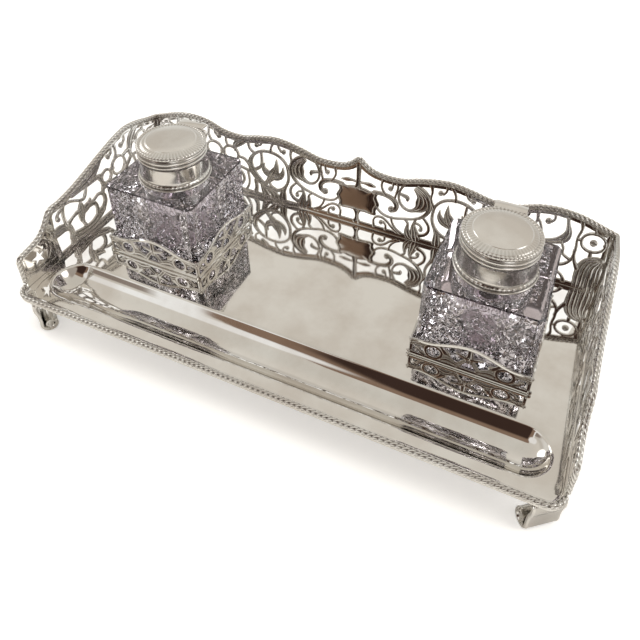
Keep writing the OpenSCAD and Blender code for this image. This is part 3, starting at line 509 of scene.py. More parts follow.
CREST_SCROLLS = strokes("""
1.2 30.7 1.1, 3.6 30.9 1.3, 6.6 30.7 2.5, 8.6 30.4 1.7, 10.4 30.2 0.3
9.5 26.4 2.6, 13 26.9 2.4, 17 26.6 2.6, 21 25.1 3.1, 23.2 21.8 2.9, 22.7 18.6 2.6, 20.9 17.4 2.6
34.4 37.6 2.6, 38.4 35 3.2, 41.2 30.8 3.2, 42 26 2.8, 40.6 21.4 2.4, 37.4 17.6 1.9,
33.2 15.2 1.4, 28 13.7 1.3, 22.8 12.3 1.3, 17.6 12.3 1.3, 13.6 14.3 1.3, 11.4 17.6 1.3
33.4 35.6 2.6, 36.6 32.4 5.4, 37.8 28.2 8.2, 36.6 24.4 6.6, 34 22 3, 30.8 20.5 1.7,
27.4 21.5 1.6, 25 24.5 1.4, 24 28.6 1.4, 24.7 33 1.4, 27 38 1.9
22.4 30.4 1.2, 25.6 29.9 1.7, 28.9 28.9 2.6, 29.2 27 1.4
14.6 37.4 1.9, 13.7 33 1.3, 14.6 29.6 1.3, 16.6 26.8 1.3
20.4 37.4 1.7, 20.3 34.4 1.2, 20 32.4 1.2
22.6 37.6 1.7, 23.2 34 1.3, 22.6 30 1.3, 21.8 26 1.3
10.8 2.6 1.7, 10.3 7 1.3, 12 10 1.3, 15.4 10.4 1.3, 18.6 8.3 1.3, 21.2 5.5 1.3, 25 2.8 1.9
17.8 2.6 1.6, 17.8 5.6 1.2, 16.2 7.4 1.2
20.6 12.4 1.3, 21.6 8.6 1.3, 24 5 1.3, 27 2.8 1.9
28.4 13.9 1.3, 30.7 11.4 1.4, 30.5 8 2.4, 31 5 4, 32 2.6 4.4
35.6 2.6 6.6, 35 6 5.1, 34.2 9.6 3.3, 34.2 12.6 1.7, 35.4 16.4 1.4
39 18 1.4, 42.2 14 1.7, 42.8 9.8 1.8, 40.8 6.4 1.9, 37.4 4.8 2.4
34.2 13.2 1.3, 37.4 12.4 1.2, 38.9 10.4 1.4
20.3 17.9 4
19 31.8 3
14.9 6.8 2.8
38.4 9.3 2.6
""")
RING_SCROLLS = strokes("""
43.9 22 1.8, 44.9 28.2 1.7, 49 33 1.7, 55.2 35 1.7, 61.8 34 1.8, 66.8 30.4 2.2, 69.4 25 3.2,
68.4 19 4.2, 64.8 13.8 4.2, 60.4 10 3.4, 55.4 8 2.4, 50 9.2 2.2, 46 13.2 2, 44.1 18.2 1.8,
43.9 22 1.8
61.4 9.8 2.2, 58 13.6 3, 55.6 17 5, 53.6 20.8 6, 52 25 3.4, 51.8 30.6 0.6
56 18.6 4.6, 59 20.2 4.4, 60.6 23.2 2.4, 59.8 26.2 0.6
53 17.6 4.2, 49.8 19.2 4.2, 47.8 22.4 2.6, 47.6 26.2 0.6
61.8 33.6 1.6, 61.5 28 1.7, 62.2 23.4 2, 65.6 20.4 2.4
52.6 8.8 1.6, 55.6 10.4 1.4, 56.8 12.4 1.4
55.2 34.6 1.9, 55 38.4 1.3, 52.8 43 2.2
50.2 42.8 1.7, 49.9 39.6 1.3, 48.4 37.2 1.2
60.4 41.6 1.7, 61.6 38.8 1.3, 63.2 37.6 1.2
44.4 26.4 1.4, 42 32 1.3, 42.4 37 1.4, 41.4 41.6 2.4
66.2 31.2 1.6, 69.4 34 1.4, 70.2 38.4 1.9
48 2.6 4.8, 48 6 4.6, 47.4 9.8 3, 46 13 2
52.4 2.6 5.4, 54 5 5, 56.6 7.4 4
59.6 2.6 5, 60.6 5.4 4, 61.8 9 3
67 2.6 3.4, 66 6.6 2.4, 66.4 12 2.4
46.8 37.5 3
64.5 37.6 3
""")
MIDDLE_SCROLLS = strokes("""
71 40 3.3, 74.4 38.2 5.5, 77.6 35.4 5.1, 79.6 32.4 2.9, 79.4 29.8 1.4
87.4 27 1.9, 89.4 27 1.9
84.4 31.2 1.4, 85.6 35.6 1.3, 84.4 40.6 1.9
95.4 32 1.4, 97.4 36.4 1.3, 97 42.6 2.2
92.6 43 1.7, 93 39.4 1.2, 91.6 37.4 1.2
70.4 22 1.7, 73.4 25.4 1.6, 77.8 26 1.4
70.2 17.4 1.7, 74.4 18.6 1.6, 79 19.6 1.6, 82.2 22 1.6
80.4 2.6 2.6, 76.6 6 1.9, 74.4 10.6 1.8, 76 15 1.7, 80.2 16.4 1.6, 83 13.6 1.7, 81.6 10.6 1.9
93.8 2.6 2.6, 98 6 1.9, 99.8 10.6 1.8, 98.2 15.4 1.7, 94 17.2 1.6, 90.6 14.6 1.7, 91.6 11 1.9
87.2 2.6 3.3, 87.2 6.6 2.6, 87 12 3.1, 87.2 16.6 2.4, 87.4 21 1.4, 86.4 24.4 1.4
73.6 2.6 1.9, 71.6 6.4 1.4, 70.8 11 1.4, 71.6 17.8 1.6
90.3 37.2 3.4
80.4 10.6 3.8
92.8 10.8 3.8
ring 82.6 27 5 1.6
ring 94.2 27.2 5.2 1.6
""")
END_SCROLLS = strokes("""
98.8 25 1.7, 103.6 25.4 2.4, 108.4 27 3.6, 112.2 30 5, 113.4 34.4 3.6, 112.4 38.6 2,
111.6 42.4 1.8
105.2 44 1.7, 105.6 40.2 1.2, 104.2 38 1.2
101.4 26 1.4, 100.6 31.6 1.3, 99 36 1.3, 97.4 38 1.3
118 43.6 2.4, 119.2 38.4 1.6, 118.2 32 1.4, 118.8 25 1.6, 118 17.4 1.6, 113.8 12.8 1.7,
109 13.8 1.7, 107.8 17.6 1.8
110.4 29 1.6, 113 24 1.4, 113.6 20 1.4, 117.6 17.4 1.4
102.4 25 1.7, 101.6 18.8 1.7, 103.4 12 1.7, 105.4 7 1.9, 105.6 2.6 2.9
99.4 12 1.7, 101.4 15 1.6, 102 18.4 1.6
104 10.8 1.4, 108 9 1.4, 112 8.2 1.4, 115.6 6 1.4, 117.4 2.6 2.4
118.4 31.6 1.4, 120.6 31.6 1.4
131.2 31.6 1.7, 133 31.6 2.2
126 37 1.4, 125.4 39.4 1.4, 123.4 42.6 2.2
126 26 1.6, 126.2 23 2.2
124.6 2.6 6, 124.4 9 6.6, 124.6 15 6.4, 126.4 19.4 5, 129.8 21.8 3.4, 132.8 22 2.4
130.4 2.6 7, 130.2 10 7, 130.2 15.6 6.2, 131.6 19.4 3.6
118.4 24 1.6, 119.6 18 1.8, 122 13 2.4
102.8 38 3.4
109.3 18.8 3.6
126 31.6 3.8
ring 126 31.6 5.8 1.4
""")
SIDE_SCROLLS = strokes("""
34.2 15.6 2.4, 33.4 21 1.8, 33.6 26 1.8, 34.8 30 3
33 27.8 1.6, 30.4 26.6 1.4, 28.9 24.6 1.4
24.6 16.4 5.4, 29 16.6 6, 33 15.4 4.4, 36 12.4 3.2, 36.4 8 3.8, 36 3 4.6
36 7 4.4, 41 5.6 5, 47 4.6 4.4, 52 4.6 4.4, 57 6.2 5, 61.4 8.4 4.6
36 13 3, 35.6 16 2.4, 38.6 18 1.8, 42 18.8 2.2, 45 18.4 2.4
46.8 7 2, 45.8 10 1.8, 45.2 12.4 3, 45.8 16 5, 46.2 20 4.4, 47 23.6 0.8
45.4 15.8 3, 49.4 17.4 4.6, 52 18.6 4, 54 21 0.9
52 17.4 3, 56 16.4 2.6, 57.6 12.8 2, 57.2 9 2.6
55.6 18 1.8, 60 19.6 1.8, 64 17.6 2.4, 64.6 12.4 2.8, 62 8.6 3
64 18.6 2.2, 65.4 22.4 2.4, 64.6 26.6 2.2, 62.4 30 3
52.8 30.4 2, 51.8 26.8 1.8, 50 24.2 1.8, 47.4 24.2 1.8, 43.4 26.6 1.6, 39.6 28.6 1.6,
35.4 29.6 2
67 39.6 3, 63 36.6 5, 58.6 34 6.8, 54 32.6 6.4, 48 31.6 4.4, 42 31 3
65 29.8 2, 59 30.4 3.2, 54 30.2 2.6
73.4 28.4 2.4, 75.6 28.2 2.4
76.6 41.8 2, 76.2 38.8 1.5, 74.6 37.2 1.4
78.4 32.6 1.8, 80 36.8 1.6, 79.4 42.6 2.4
88.6 43.6 1.8, 88.2 40.2 1.4, 86.4 38.4 1.4
85 31.2 2, 88.4 32.4 2, 91.8 31.6 2.2
99 43 3.4, 95 39.4 5.1, 92.4 35 4.6, 91.2 30.6 2.9, 92.2 27 1.6
111.6 30 1.7, 106.6 27.4 1.8, 101 26.2 1.7, 96 26.8 1.7, 91.6 27 2, 87.4 23.4 2.2, 82 20.6 2.4,
76 20.4 2.4, 70 20.8 2.6, 64.6 20.8 2.6
75.4 20.6 1.7, 73 16 1.7, 74.6 11.4 1.7, 79 9.8 1.7, 81.8 12.8 1.7
69.6 2.6 3, 71.2 7 2, 74.2 11.8 1.7
84 21.4 1.7, 87.6 17 1.7, 89.6 11 1.8, 87.4 6.6 1.8, 82.8 2.6 2.9
89.6 12 1.7, 93.4 9.2 1.7, 98 8.4 1.7, 101.6 11 1.7
96.6 8.6 1.7, 97.4 2.6 2.9
93.6 27 1.7, 95.4 21 1.7, 100.2 17.6 1.8, 105.8 18 1.8, 108.8 13.6 1.8, 107.6 8 1.8,
104.4 2.6 2.8
103.4 29.6 1.7, 104.4 27 1.7
98.2 34.6 1.8, 94.6 35.6 2.3
104.4 38.2 1.7, 106.6 42 2.3
107 34.2 1.7, 111 35.4 1.7, 117 34.6 2.3
111.4 30.4 1.7, 113.6 25.6 1.7, 117.4 23.6 2.3
108.6 12.6 1.7, 112.4 15.4 1.7, 117.4 14.6 2.3
29.4 23.6 3
73.4 37.2 3.2
85 38.4 3.4
80.7 14.2 3.8
101.6 12.6 3.8
ring 69.4 26.4 4 1.7
ring 80.4 27.6 5.6 1.7
ring 102.6 34 4.6 1.7
""")
HOLDER_SCROLLS = strokes("""
0 15.6 2.8, 0 12 2.6, 0 9.8 3.8, 0 8 3
0.6 9 2.2, 2.9 6.4 2, 5.4 2.6 2.6
0.6 9.6 1.8, 3.4 10.2 1.6, 6.2 11.3 0.8
4.6 3.2 2.6, 7.2 4 3.8, 10 4.6 4.8, 12.2 3.8 3.4
11 8.4 2.4, 12.8 10.6 1.8, 14 12.4 1.8
14.4 11.2 2.2, 18 11.2 2, 22 10 2.6, 27 9.6 2.6
20.6 7.4 2.4, 21.8 8.8 2.6, 24.6 8.8 1.6, 27 8 1.8
20.2 3 3.2, 22.6 4.2 1.6, 23.6 5.4 1.4
10.8 8 4.6
23.8 5.8 2.8
ring 16.5 6.6 3.9 1.6
""")
print("strokes drawn:", sum(len(s) for s in (CREST_SCROLLS, RING_SCROLLS, MIDDLE_SCROLLS, END_SCROLLS,
                                             SIDE_SCROLLS, HOLDER_SCROLLS)))

# %% [markdown]
# A ribbon's section is a squared circle: at power 2 it would be an ellipse, and at a higher power it
# grows flat with rounded edges. Its points stand close together at the edges, so that the shading keeps
# the face flat. The tips are drawn in over half a width, so that each stroke ends round.
# %% Ribbons
TIP = ((0.5, 0.03), (0.45, 0.42), (0.3, 0.78), (0.12, 0.95))


def stations(points, steps):
    """Centre, heading, width and fullness at each step along a stroke, with round tips."""
    path = smooth_path(points, steps) if len(points) > 1 else [
        Vector(points[0]), Vector(points[0]) + Vector((0.02, 0, 0))]
    centres = [p.xy for p in path]
    heads = headings(centres)
    row = [(c, h, p.z, 1.0) for c, h, p in zip(centres, heads, path)]
    (c0, h0, w0, _), (c1, h1, w1, _) = row[0], row[-1]
    first = [(c0 - h0 * w0 * out, h0, w0 * full, full) for out, full in TIP]
    last = [(c1 + h1 * w1 * out, h1, w1 * full, full) for out, full in reversed(TIP)]
    return first + row + last


def section(veins, power):
    """Points round a ribbon: shares of half its width and of half its thickness, first front, then back."""
    edge = [1.0, 0.98, 0.92, 0.8]
    inner = 2 + 6 * veins
    front = edge + [0.8 - 1.6 * i / inner for i in range(1, inner)] + [-a for a in edge[::-1]]
    rise = [(a, (1 - abs(a) ** power) ** (1 / power)) for a in front]
    return rise + [(a, -out) for a, out in rise[-2::-1]]


def ribbon(bm, points, spot, thick, power=8, steps=3, veins=None):
    """Adds a ribbon along a stroke. spot(x, y, out) puts a point of the drawing in its place."""
    row = stations(points, steps)
    widest = max(p[2] for p in points)
    if veins is None:
        veins = 0 if widest < 2.6 else 1 if widest < 4 else 2 if widest < 6 else 3
    ring = section(veins, power)
    last = len(row) - 1

    def place(u, v):
        centre, head, width, full = row[round(u * last)]
        across, rise = ring[round(v * (len(ring) - 1))]
        out = rise * thick / 2 * full ** 0.6
        groove = 0.0
        if veins:
            wave = 0.5 - 0.5 * cos(tau * veins * (across + 1) / 2)
            deep = wave ** 3 * min(1.0, width / widest * 1.2) * full
            out *= 1 - 0.45 * deep
            groove = 0.85 * deep
        # The edges of a ribbon get a little of the groove value too, so they come out a little darker.
        edge = abs(across) ** 16 * 0.4
        point = centre + across * width / 2 * Vector((-head.y, head.x))
        return *spot(point.x, point.y, out), max(groove, edge)

    bent_grid(bm, last, len(ring) - 1, place)


def mirrored(points):
    """The same stroke on the other side of the middle line."""
    return [(-p[0], *p[1:]) for p in points]


def band(bm, line, spot, width, thick=1.0):
    """A flat band with soft edges along a line of points without widths."""
    ribbon(bm, [(*p, width) for p in line], spot, thick, steps=1, veins=0)


# %% [markdown]
# The plain eared plate in the middle of the back gallery is a fan: a grid that runs from a centre out
# to its outline and over both faces, thinner at the edge. A fine raised thread follows its border on both faces.
# %% Cartouche
CARTOUCHE = [(0, 27.8), (4.4, 27.2), (7.9, 26.3), (10.5, 27.6), (12.1, 26), (11.2, 23.6), (12.1, 21), (13.2, 18.4),
             (12.1, 15.8), (11.2, 13.2), (11.7, 11), (9.2, 10.2), (4.4, 10.7), (0, 10.3)]


def reach(outline, centre, angle):
    """The distance from a centre to a closed outline in one direction."""
    ray = Vector((cos(angle), sin(angle)))
    far = 0.0
    for a, b in zip(outline, outline[1:] + outline[:1]):
        side, start = b - a, a - centre
        bend = ray.cross(side)
        if abs(bend) > 1e-9 and -1e-6 <= start.cross(ray) / bend <= 1 + 1e-6:
            far = max(far, start.cross(side) / bend)
    return far


def fan(bm, centre, hole, outline, spot, section):
    """A sheet between a hole and an outline that both lie round a centre. section lists, from the hole's
    front edge over the outline to its back edge, the share of the way and the distance from the middle."""
    rays = 90
    spans = []
    for i in range(rays):
        angle = tau * i / rays
        near = reach(hole, centre, angle) if hole else 0.0
        spans.append((near, reach(outline, centre, angle), cos(angle), sin(angle)))

    def place(u, v):
        near, far, c, s = spans[round(u * rays) % rays]
        share, out = section[round(v * (len(section) - 1))]
        r = near + (far - near) * share
        return *spot(centre.x + r * c, centre.y + r * s, out), 0.35 if abs(out) < 0.48 else 0.0

    bent_grid(bm, rays, len(section) - 1, place)


def cartouche(bm, spot):
    right = [p for p in smooth_path(CARTOUCHE, 3)]
    outline = right + [Vector((-p.x, p.y)) for p in right[-2:0:-1]]
    front = [(0, 0.5), (0.4, 0.5), (0.8, 0.5), (0.83, 0.46), (0.86, 0.62), (0.9, 0.62), (0.92, 0.46),
             (0.97, 0.5), (1, 0.36)]
    fan(bm, Vector((0, 19)), None, outline, spot, front + [(share, -out) for share, out in front[::-1]])
    ribbon(bm, [(0, 27, 4.4), (0, 31, 2.6), (0, 38, 2.8), (0, 43.4, 3)], spot, 1.3, veins=1)
    ribbon(bm, [(0, 3, 5), (0, 5, 2.6), (0, 8.4, 2.6), (0, 10.8, 5)], spot, 1.3, veins=1)


# %% [markdown]
# The low front end of each side gallery is a plain panel round a star-shaped opening. It comes from the
# same fan, this time with the star as its hole. A few chased lines stand up on its faces.
# %% Front panel
STAR_AT = Vector((11.6, 11.6))
STAR = [Vector((11.6 + r * cos(a), 11.6 + r * sin(a)))
        for r, a in (((5.0, 1.9)[i % 2], math.radians(36 * i + 20)) for i in range(10))]
CHASED = strokes("""
3 4.6 0.7, 3.4 10 0.9, 2.6 16.6 0.6
4.8 5 0.6, 9 4 0.9, 15 4.4 0.9, 21 4 0.6
17.6 7 0.6, 20 11 1.1, 20.4 16 1.1, 18.4 20.4 0.6
22.6 6 0.6, 23 12 0.8, 22.4 20 0.9, 23 27.4 0.6
5 17.8 0.6, 9 18.6 0.9, 14 19.6 0.7
15.2 18.6 0.5, 17.8 17.6 1.2, 18.2 14.2 0.6
""")


def front_panel(bm, spot):
    top = [Vector(p[:2]) for p in below(smooth_path(SIDE, 3), -1.2) if p.x < 26.4 and p.y > 1]
    outline = top + [Vector(p) for p in ((0.6, 0.3), (26.2, 0.3), (25.8, 6), (25.2, 14), (25.4, 20),
                                         (25.8, 26))]
    front = [(0, 0.3), (0.04, 0.5), (0.3, 0.5), (0.6, 0.5), (1, 0.5)]
    section = front + [(share, -out) for share, out in front[::-1]] + front[:1]
    fan(bm, STAR_AT, STAR, outline, spot, section)
    for line in CHASED:
        for face in (0.5, -0.5):
            ribbon(bm, line, lambda x, y, out: spot(x, y, out + face), 0.36)


def back_gallery():
    bm = new_mesh()
    cartouche(bm, back_point)
    ends = [[(x + HALF_W - 135, y, w) for x, y, w in s] for s in END_SCROLLS]
    for stroke in CREST_SCROLLS + RING_SCROLLS + MIDDLE_SCROLLS + ends:
        for line in (stroke, mirrored(stroke)):
            ribbon(bm, line, back_point, 1.25 if len(line) > 1 else 1.7)
    under = [tuple(p) for p in below(smooth_path(CREST, 2), 2.5)]
    for line in (under, mirrored(under)):
        band(bm, [p for p in line[1:] if abs(p[0]) < HALF_W - 1], back_point, 2.7)
    band(bm, [(-HALF_W + 1.8, 1.6), (0, 1.6), (HALF_W - 1.8, 1.6)], back_point, 3.2)
    for sign in (1, -1):
        band(bm, [(sign * (HALF_W - 2.1), 0.5), (sign * (HALF_W - 2.1), 37.5)], back_point, 3.4)
    return finish_piece("back_gallery_scrollwork", bm, "stand", ["back_gallery"],
                        PIERCED_SILVER)


def side_gallery(name, sign):
    bm = new_mesh()
    spot = side_point(sign)
    front_panel(bm, spot)
    for line in SIDE_SCROLLS:
        ribbon(bm, line, spot, 1.25 if len(line) > 1 else 1.7)
    under = [tuple(p) for p in below(smooth_path(SIDE, 2), -2.5) if p.y > 1 and p.x < SIDE_L - 1]
    band(bm, under, spot, 2.7)
    band(bm, [(1, 1.6), (60, 1.6), (SIDE_L - 1.8, 1.6)], spot, 3.2)
    band(bm, [(SIDE_L - 1.9, 0.5), (SIDE_L - 1.9, 37.5)], spot, 3)
    return finish_piece(f"{name}_gallery_scrollwork", bm, "stand", [f"{name}_gallery"],
                        PIERCED_SILVER)


back_gallery()
side_gallery("left", -1)
side_gallery("right", 1)

# %% [markdown]
# ## Feet
# Each foot is a strip of cast silver that curves out and down and then rolls inwards into a scroll.
# It is the same ribbon as before, seen from its end: the drawing is the strip's side view, and what
# was the ribbon's thickness is now the foot's width.
# %% Feet
FOOT_W = 15.0
PAD_Z = FLOOR - 1.2 - 0.9
SCROLL_R = 5.0
BEND = SCROLL_R - 0.9
SCROLL_Z = 4.06


def foot(name, sx, sy):
    bm = new_mesh()
    # The scroll faces the front or back a little more than the side
    turn = math.atan2(sy * 1.3, sx)
    heading = Vector((cos(turn), sin(turn), 0))
    across = Vector((-sin(turn), cos(turn), 0))
    corner = Vector((sx * 127.6, sy * 55.2, 0))

    def spot(u, z, out=0.0):
        return corner + u * heading + out * across + Vector((0, 0, z))

    leg = [(-5, PAD_Z), (-1, PAD_Z), (2.4, PAD_Z - 0.2), (4.6, PAD_Z - 1.6), (5, PAD_Z - 4.6),
           (4.2, PAD_Z - 8.2), (3.9, SCROLL_Z + 3.4), (BEND, SCROLL_Z)]
    strip = [(*p, 1.8) for p in smooth_path(leg, 4)]
    for i in range(1, 41):
        t = i / 40
        angle = -math.radians(440) * t
        radius = BEND + (1.3 - BEND) * t
        strip.append((Vector((radius * cos(angle), SCROLL_Z + radius * sin(angle))).x,
                      SCROLL_Z + radius * sin(angle), 1.8 - 0.8 * t))
    ribbon(bm, [tuple(Vector(p)) for p in strip], spot, FOOT_W, power=9, steps=1, veins=0)
    ribbon(bm, [(0, SCROLL_Z, 6.2)], spot, FOOT_W + 0.3, power=6, veins=0)
    for side in (-1, 1):
        # A raised bead closes each edge of the strip
        line = [spot(p[0], p[1], side * (FOOT_W / 2 - 0.75)) for p in strip[2:-16]]
        cord_line(bm, line, across, 0.99)
    return finish_piece(f"{name}_scroll_foot", bm, "stand", [f"{name}_foot"], CAST_SILVER)


for name, sx, sy in (("front_left", -1, -1), ("front_right", 1, -1), ("back_left", -1, 1),
                     ("back_right", 1, 1)):
    foot(name, sx, sy)

# %% [markdown]
# ## Holders
# Four pierced walls stand round each inkwell, with an arched top under a rolled edge. The walls are
# drawn once and turned in quarter turns.
# %% Holders
HOLDER_W = 56.0


def arch(u):
    """Height of a holder's wall at a distance from its middle."""
    return 11.2 + (5.2 * (1 + cos(pi * u / 22)) / 2 if abs(u) < 22 else 0)


def holder(name, x):
    bm = new_mesh()
    top = [(-28, arch(28))] + [(u, arch(u)) for u in range(-22, 23, 2)] + [(28, arch(28))]
    for quarter in range(4):
        turned = Matrix.Rotation(quarter * pi / 2, 3, "Z")

        def spot(a, h, out=0.0):
            return turned @ Vector((a, out - HOLDER_W / 2 + 0.5, h)) + Vector((x, WELL_Y, FLOOR))

        for stroke in HOLDER_SCROLLS:
            for line in (stroke, mirrored(stroke)):
                ribbon(bm, line, spot, 1.1, steps=2)
        band(bm, [(u, h - 0.75) for u, h in top[:1]] + [(u, h - 0.75) for u, h in top[1:-1]]
             + [(28, top[-1][1] - 0.75)], spot, 1.4, 0.9)
        band(bm, [(-27.9, 1.35), (0, 1.35), (27.9, 1.35)], spot, 2.7, 0.9)
        for side in (-1, 1):
            band(bm, [(side * 27.2, 0.4), (side * 27.2, 10.6)], spot, 1.5, 0.9)
        facing = turned @ Vector((0, 1, 0))
        cord_line(bm, [spot(u, h - 0.55, -0.1) for u, h in top], facing, 0.75, sides=8)
        cord_line(bm, [spot(-28, 0.5, -0.3), spot(-27.9, 0.5, -0.3), spot(27.9, 0.5, -0.3),
                       spot(28, 0.5, -0.3)], facing, 0.5, sides=8)
    return finish_piece(f"{name}_holder_scrollwork", bm, "stand", [f"{name}_holder"],
                        PIERCED_SILVER)


for name, x in WELLS.items():
    holder(name, x)

# %% [markdown]
# ## Inkwells
# A crystal block is cut on a wheel. The four sides carry a close diamond cut: two sets of V-shaped
# furrows that cross and leave small pointed pyramids. On a grid of quads that pattern is a
# checkerboard of heights: every second corner stays up and the others go down. The whole block, with
# its plain top, its neck and the round well inside, is one grid: its rows start in the middle of the
# foot, climb the square sides, cross the top and go down into the well. So it is closed everywhere,
# which glass needs: light that enters through one face has to leave through another.
# %% Cut glass block
GLASS_W = 52.4
GLASS_H = 43.8
NECK_R = 13.0
EDGE_CUT = 2.2
BEVEL = 0.9
# EDGE_LINE is the width of the band along the block's top edge that the crystal darkens as painted shade.
EDGE_LINE = 0.55
# The block stands on the tray with a film of air under it; faces in one plane would look black
FOOT_GAP = 0.12
FACETS = 30
CUT_ROWS = 24
CUT = 0.5
STAR_STEP = 12


def block_point(i, inset):
    """Corner number i on the block's outline: a row of facets on each side, and a cut-off edge."""
    side, step = divmod(i, FACETS + 1)
    half = GLASS_W / 2 - inset
    flat = half - EDGE_CUT
    return Matrix.Rotation(side * pi / 2, 2) @ Vector((flat * (2 * step / FACETS - 1), -half))


def block_rows():
    """The rows of the block from the middle of its foot, up its sides and down into the well. Each is
    ("side", inset, height) for a row on the square outline or ("round", radius, height)."""
    rows = [("round", 0.0, FOOT_GAP), ("side", BEVEL, FOOT_GAP), ("side", 0.0, BEVEL)]
    low, high = 2.4, GLASS_H - 2.6
    rows += [("cut", 0.0, low + (high - low) * i / CUT_ROWS) for i in range(CUT_ROWS + 1)]
    rows += [("side", 0.0, GLASS_H - EDGE_LINE - 0.05), ("line", 0.0, GLASS_H - EDGE_LINE), ("line", EDGE_LINE, GLASS_H),
             ("side", EDGE_LINE + 0.05, GLASS_H)]
    well = [(NECK_R, GLASS_H), (NECK_R, 55.0), (12.6, 55.5), (9.9, 55.5), (9.5, 55.1), (9.5, 43), (10.9, 40.8),
            (16.4, 35), (17.7, 33.2), (18, 31), (18, 13), (17.3, 10.4), (15.4, 8.2), (12, 7), (0, 7)]
    return rows + [("round", r, z) for r, z in well]


def bottle(name, x):
    bm = new_mesh()
    rows = block_rows()
    around = 4 * (FACETS + 1)
    dice = random.Random(name)
    nudge = {(i, j): [dice.uniform(-1, 1) for _ in range(3)] for i in range(around) for j in range(len(rows))}

    def place(u, v):
        i, j = round(u * around) % around, round(v * (len(rows) - 1))
        kind, size, z = rows[j]
        if kind == "round":
            way = block_point(i, 0.0).normalized()
            return way.x * size, way.y * size, z, 0.0
        point = block_point(i, size)
        step = i % (FACETS + 1)
        if kind == "cut" and 1 < step < FACETS - 1 and 3 < j < CUT_ROWS + 3:
            side, up, deep = nudge[i, j]
            inwards = Matrix.Rotation(i // (FACETS + 1) * pi / 2, 2) @ Vector((0, 1))
            along = Vector((inwards.y, -inwards.x))
            # Every second corner lies deep, and the rays of the stars lie deeper
            a, b = step - FACETS // 2, j - 3 - CUT_ROWS // 2
            ray = 0 in (a % STAR_STEP, b % STAR_STEP, (a + b) % STAR_STEP, (a - b) % STAR_STEP)
            depth = 0.85 if ray else CUT * ((i + j) % 2)
            point += along * side * 0.22 + inwards * depth * (0.8 + 0.2 * deep)
            z += up * 0.22
        # Rows of the kind "line" lie along the top edge. Their groove value of 1 makes the crystal paint a shade there.
        return point.x, point.y, z, 1.0 if kind == "line" else 0.0

    bent_grid(bm, around, len(rows) - 1, place)
    bmesh.ops.remove_doubles(bm, verts=bm.verts, dist=0.004)
    cut_faces = [f for f in bm.faces if len(f.verts) == 4 and 2 < f.calc_center_median().z < GLASS_H - 2
                 and f.calc_center_median().xy.length > 20]
    bmesh.ops.triangulate(bm, faces=cut_faces)
    bmesh.ops.translate(bm, vec=(x, WELL_Y, FLOOR), verts=bm.verts)
    return finish_piece(f"{name}_crystal_block", bm, f"{name}_inkwell", [f"{name}_bottle"],
                        CRYSTAL, sharp=12)


# %% [markdown]
# Turned parts, such as collars, lids and the well's inside, come from a profile that is spun round the
# upright axis, as on a lathe. Gadroons are pushed into a turned part afterwards: each corner in the
# gadrooned zone moves in or out with its angle, so that a row of lobes stands up.
# %% Turned parts
def turned(bm, profile, steps=96):
    """Spins a profile of (radius, height) round the z axis and returns its vertices."""
    verts = [bm.verts.new((r, 0, z)) for r, z in profile]
    edges = [bm.edges.new(pair) for pair in zip(verts, verts[1:])]
    made = bmesh.ops.spin(bm, geom=verts + edges, cent=(0, 0, 0), axis=(0, 0, 1), dvec=(0, 0, 0), angle=tau,
                          steps=steps, use_merge=True, use_duplicate=False)
    faces = {f for v in verts for f in v.link_faces}
    seen = set(faces)
    while faces:
        faces = {g for f in faces for e in f.edges for g in e.link_faces} - seen
        seen |= faces
    return list({v for f in seen for v in f.verts})


def soft_profile(points, steps=3):
    """A turned profile with its corners smoothed."""
    return [tuple(p) for p in smooth_path(points, steps)]


LOBES = 60


def gadroon(bm, verts, lobes, zone, depth, slant=0.0):
    """Presses lobes into the part of a turned shape where zone(radius, height) is above 0."""
    groove = bm.verts.layers.float["groove"]
    for vert in verts:
        r = vert.co.xy.length
        strength = zone(r, vert.co.z)
        if strength <= 0 or r < 0.01:
            continue
        angle = math.atan2(vert.co.y, vert.co.x) + slant * (vert.co.z + r)
        lobe = (0.5 + 0.5 * cos(lobes * angle)) ** 0.6
        down = depth * strength * (1 - lobe)
        vert.co.xy *= 1 - down * 0.7 / r
        vert.co.z -= down * 0.7
        vert[groove] = max(vert[groove], 0.6 * strength * (1 - lobe) ** 2)


def collar(name, x):
    bm = new_mesh()
    foot_zone = lambda r, z: 1.0 if 44.9 < z < 46.9 and r > 17.2 else 0.0
    outside = [(13.2, 43.8), (19.0, 43.82), (19.3, 44.05), (19.3, 44.4), (19.1, 44.7), (18.8, 44.85),
               (18.6, 45.0), (18.85, 45.4), (19.0, 45.9), (18.85, 46.4), (18.55, 46.8), (18.2, 47.0),
               (18.0, 47.25), (17.85, 47.7), (17.75, 48.4), (17.65, 49.4), (17.55, 51), (17.5, 53),
               (17.45, 55.4), (17.5, 56.0), (17.65, 56.25), (17.65, 56.5), (17.75, 56.7), (17.95, 57.0),
               (17.97, 57.5), (17.85, 57.9), (17.6, 58.1), (17.5, 58.4), (9.6, 58.4), (9.55, 55.6),
               (15.7, 55.5), (15.7, 45.1), (13.2, 45.0), (13.2, 43.8)]
    verts = turned(bm, outside, 4 * 48)
    gadroon(bm, verts, 48, foot_zone, 0.2)
    groove = bm.verts.layers.float["groove"]
    for vert in verts:
        h = vert.co.z
        if 56.2 < h < 56.55 or 58.0 < h < 58.5 or 44.8 < h < 45.05 or 47.0 < h < 47.3:
            vert[groove] = max(vert[groove], 0.7)
    bmesh.ops.translate(bm, vec=(x, WELL_Y, FLOOR), verts=bm.verts)
    return finish_piece(f"{name}_spun_collar", bm, f"{name}_inkwell", [f"{name}_collar"],
                        SPUN_SILVER, sharp=50)


def neck_plaster(name, x):
    bm = new_mesh()
    verts = turned(bm, [(13.02, 45.1), (15.6, 45.1), (15.66, 50), (15.6, 55.4), (13.02, 55.4), (13.02, 45.1)],
                   48)
    bmesh.ops.translate(bm, vec=(x, WELL_Y, FLOOR), verts=bm.verts)
    return finish_piece(f"{name}_plaster_ring", bm, f"{name}_inkwell", [f"{name}_neck_plaster"],
                        PLASTER)


JOINT = 58.5


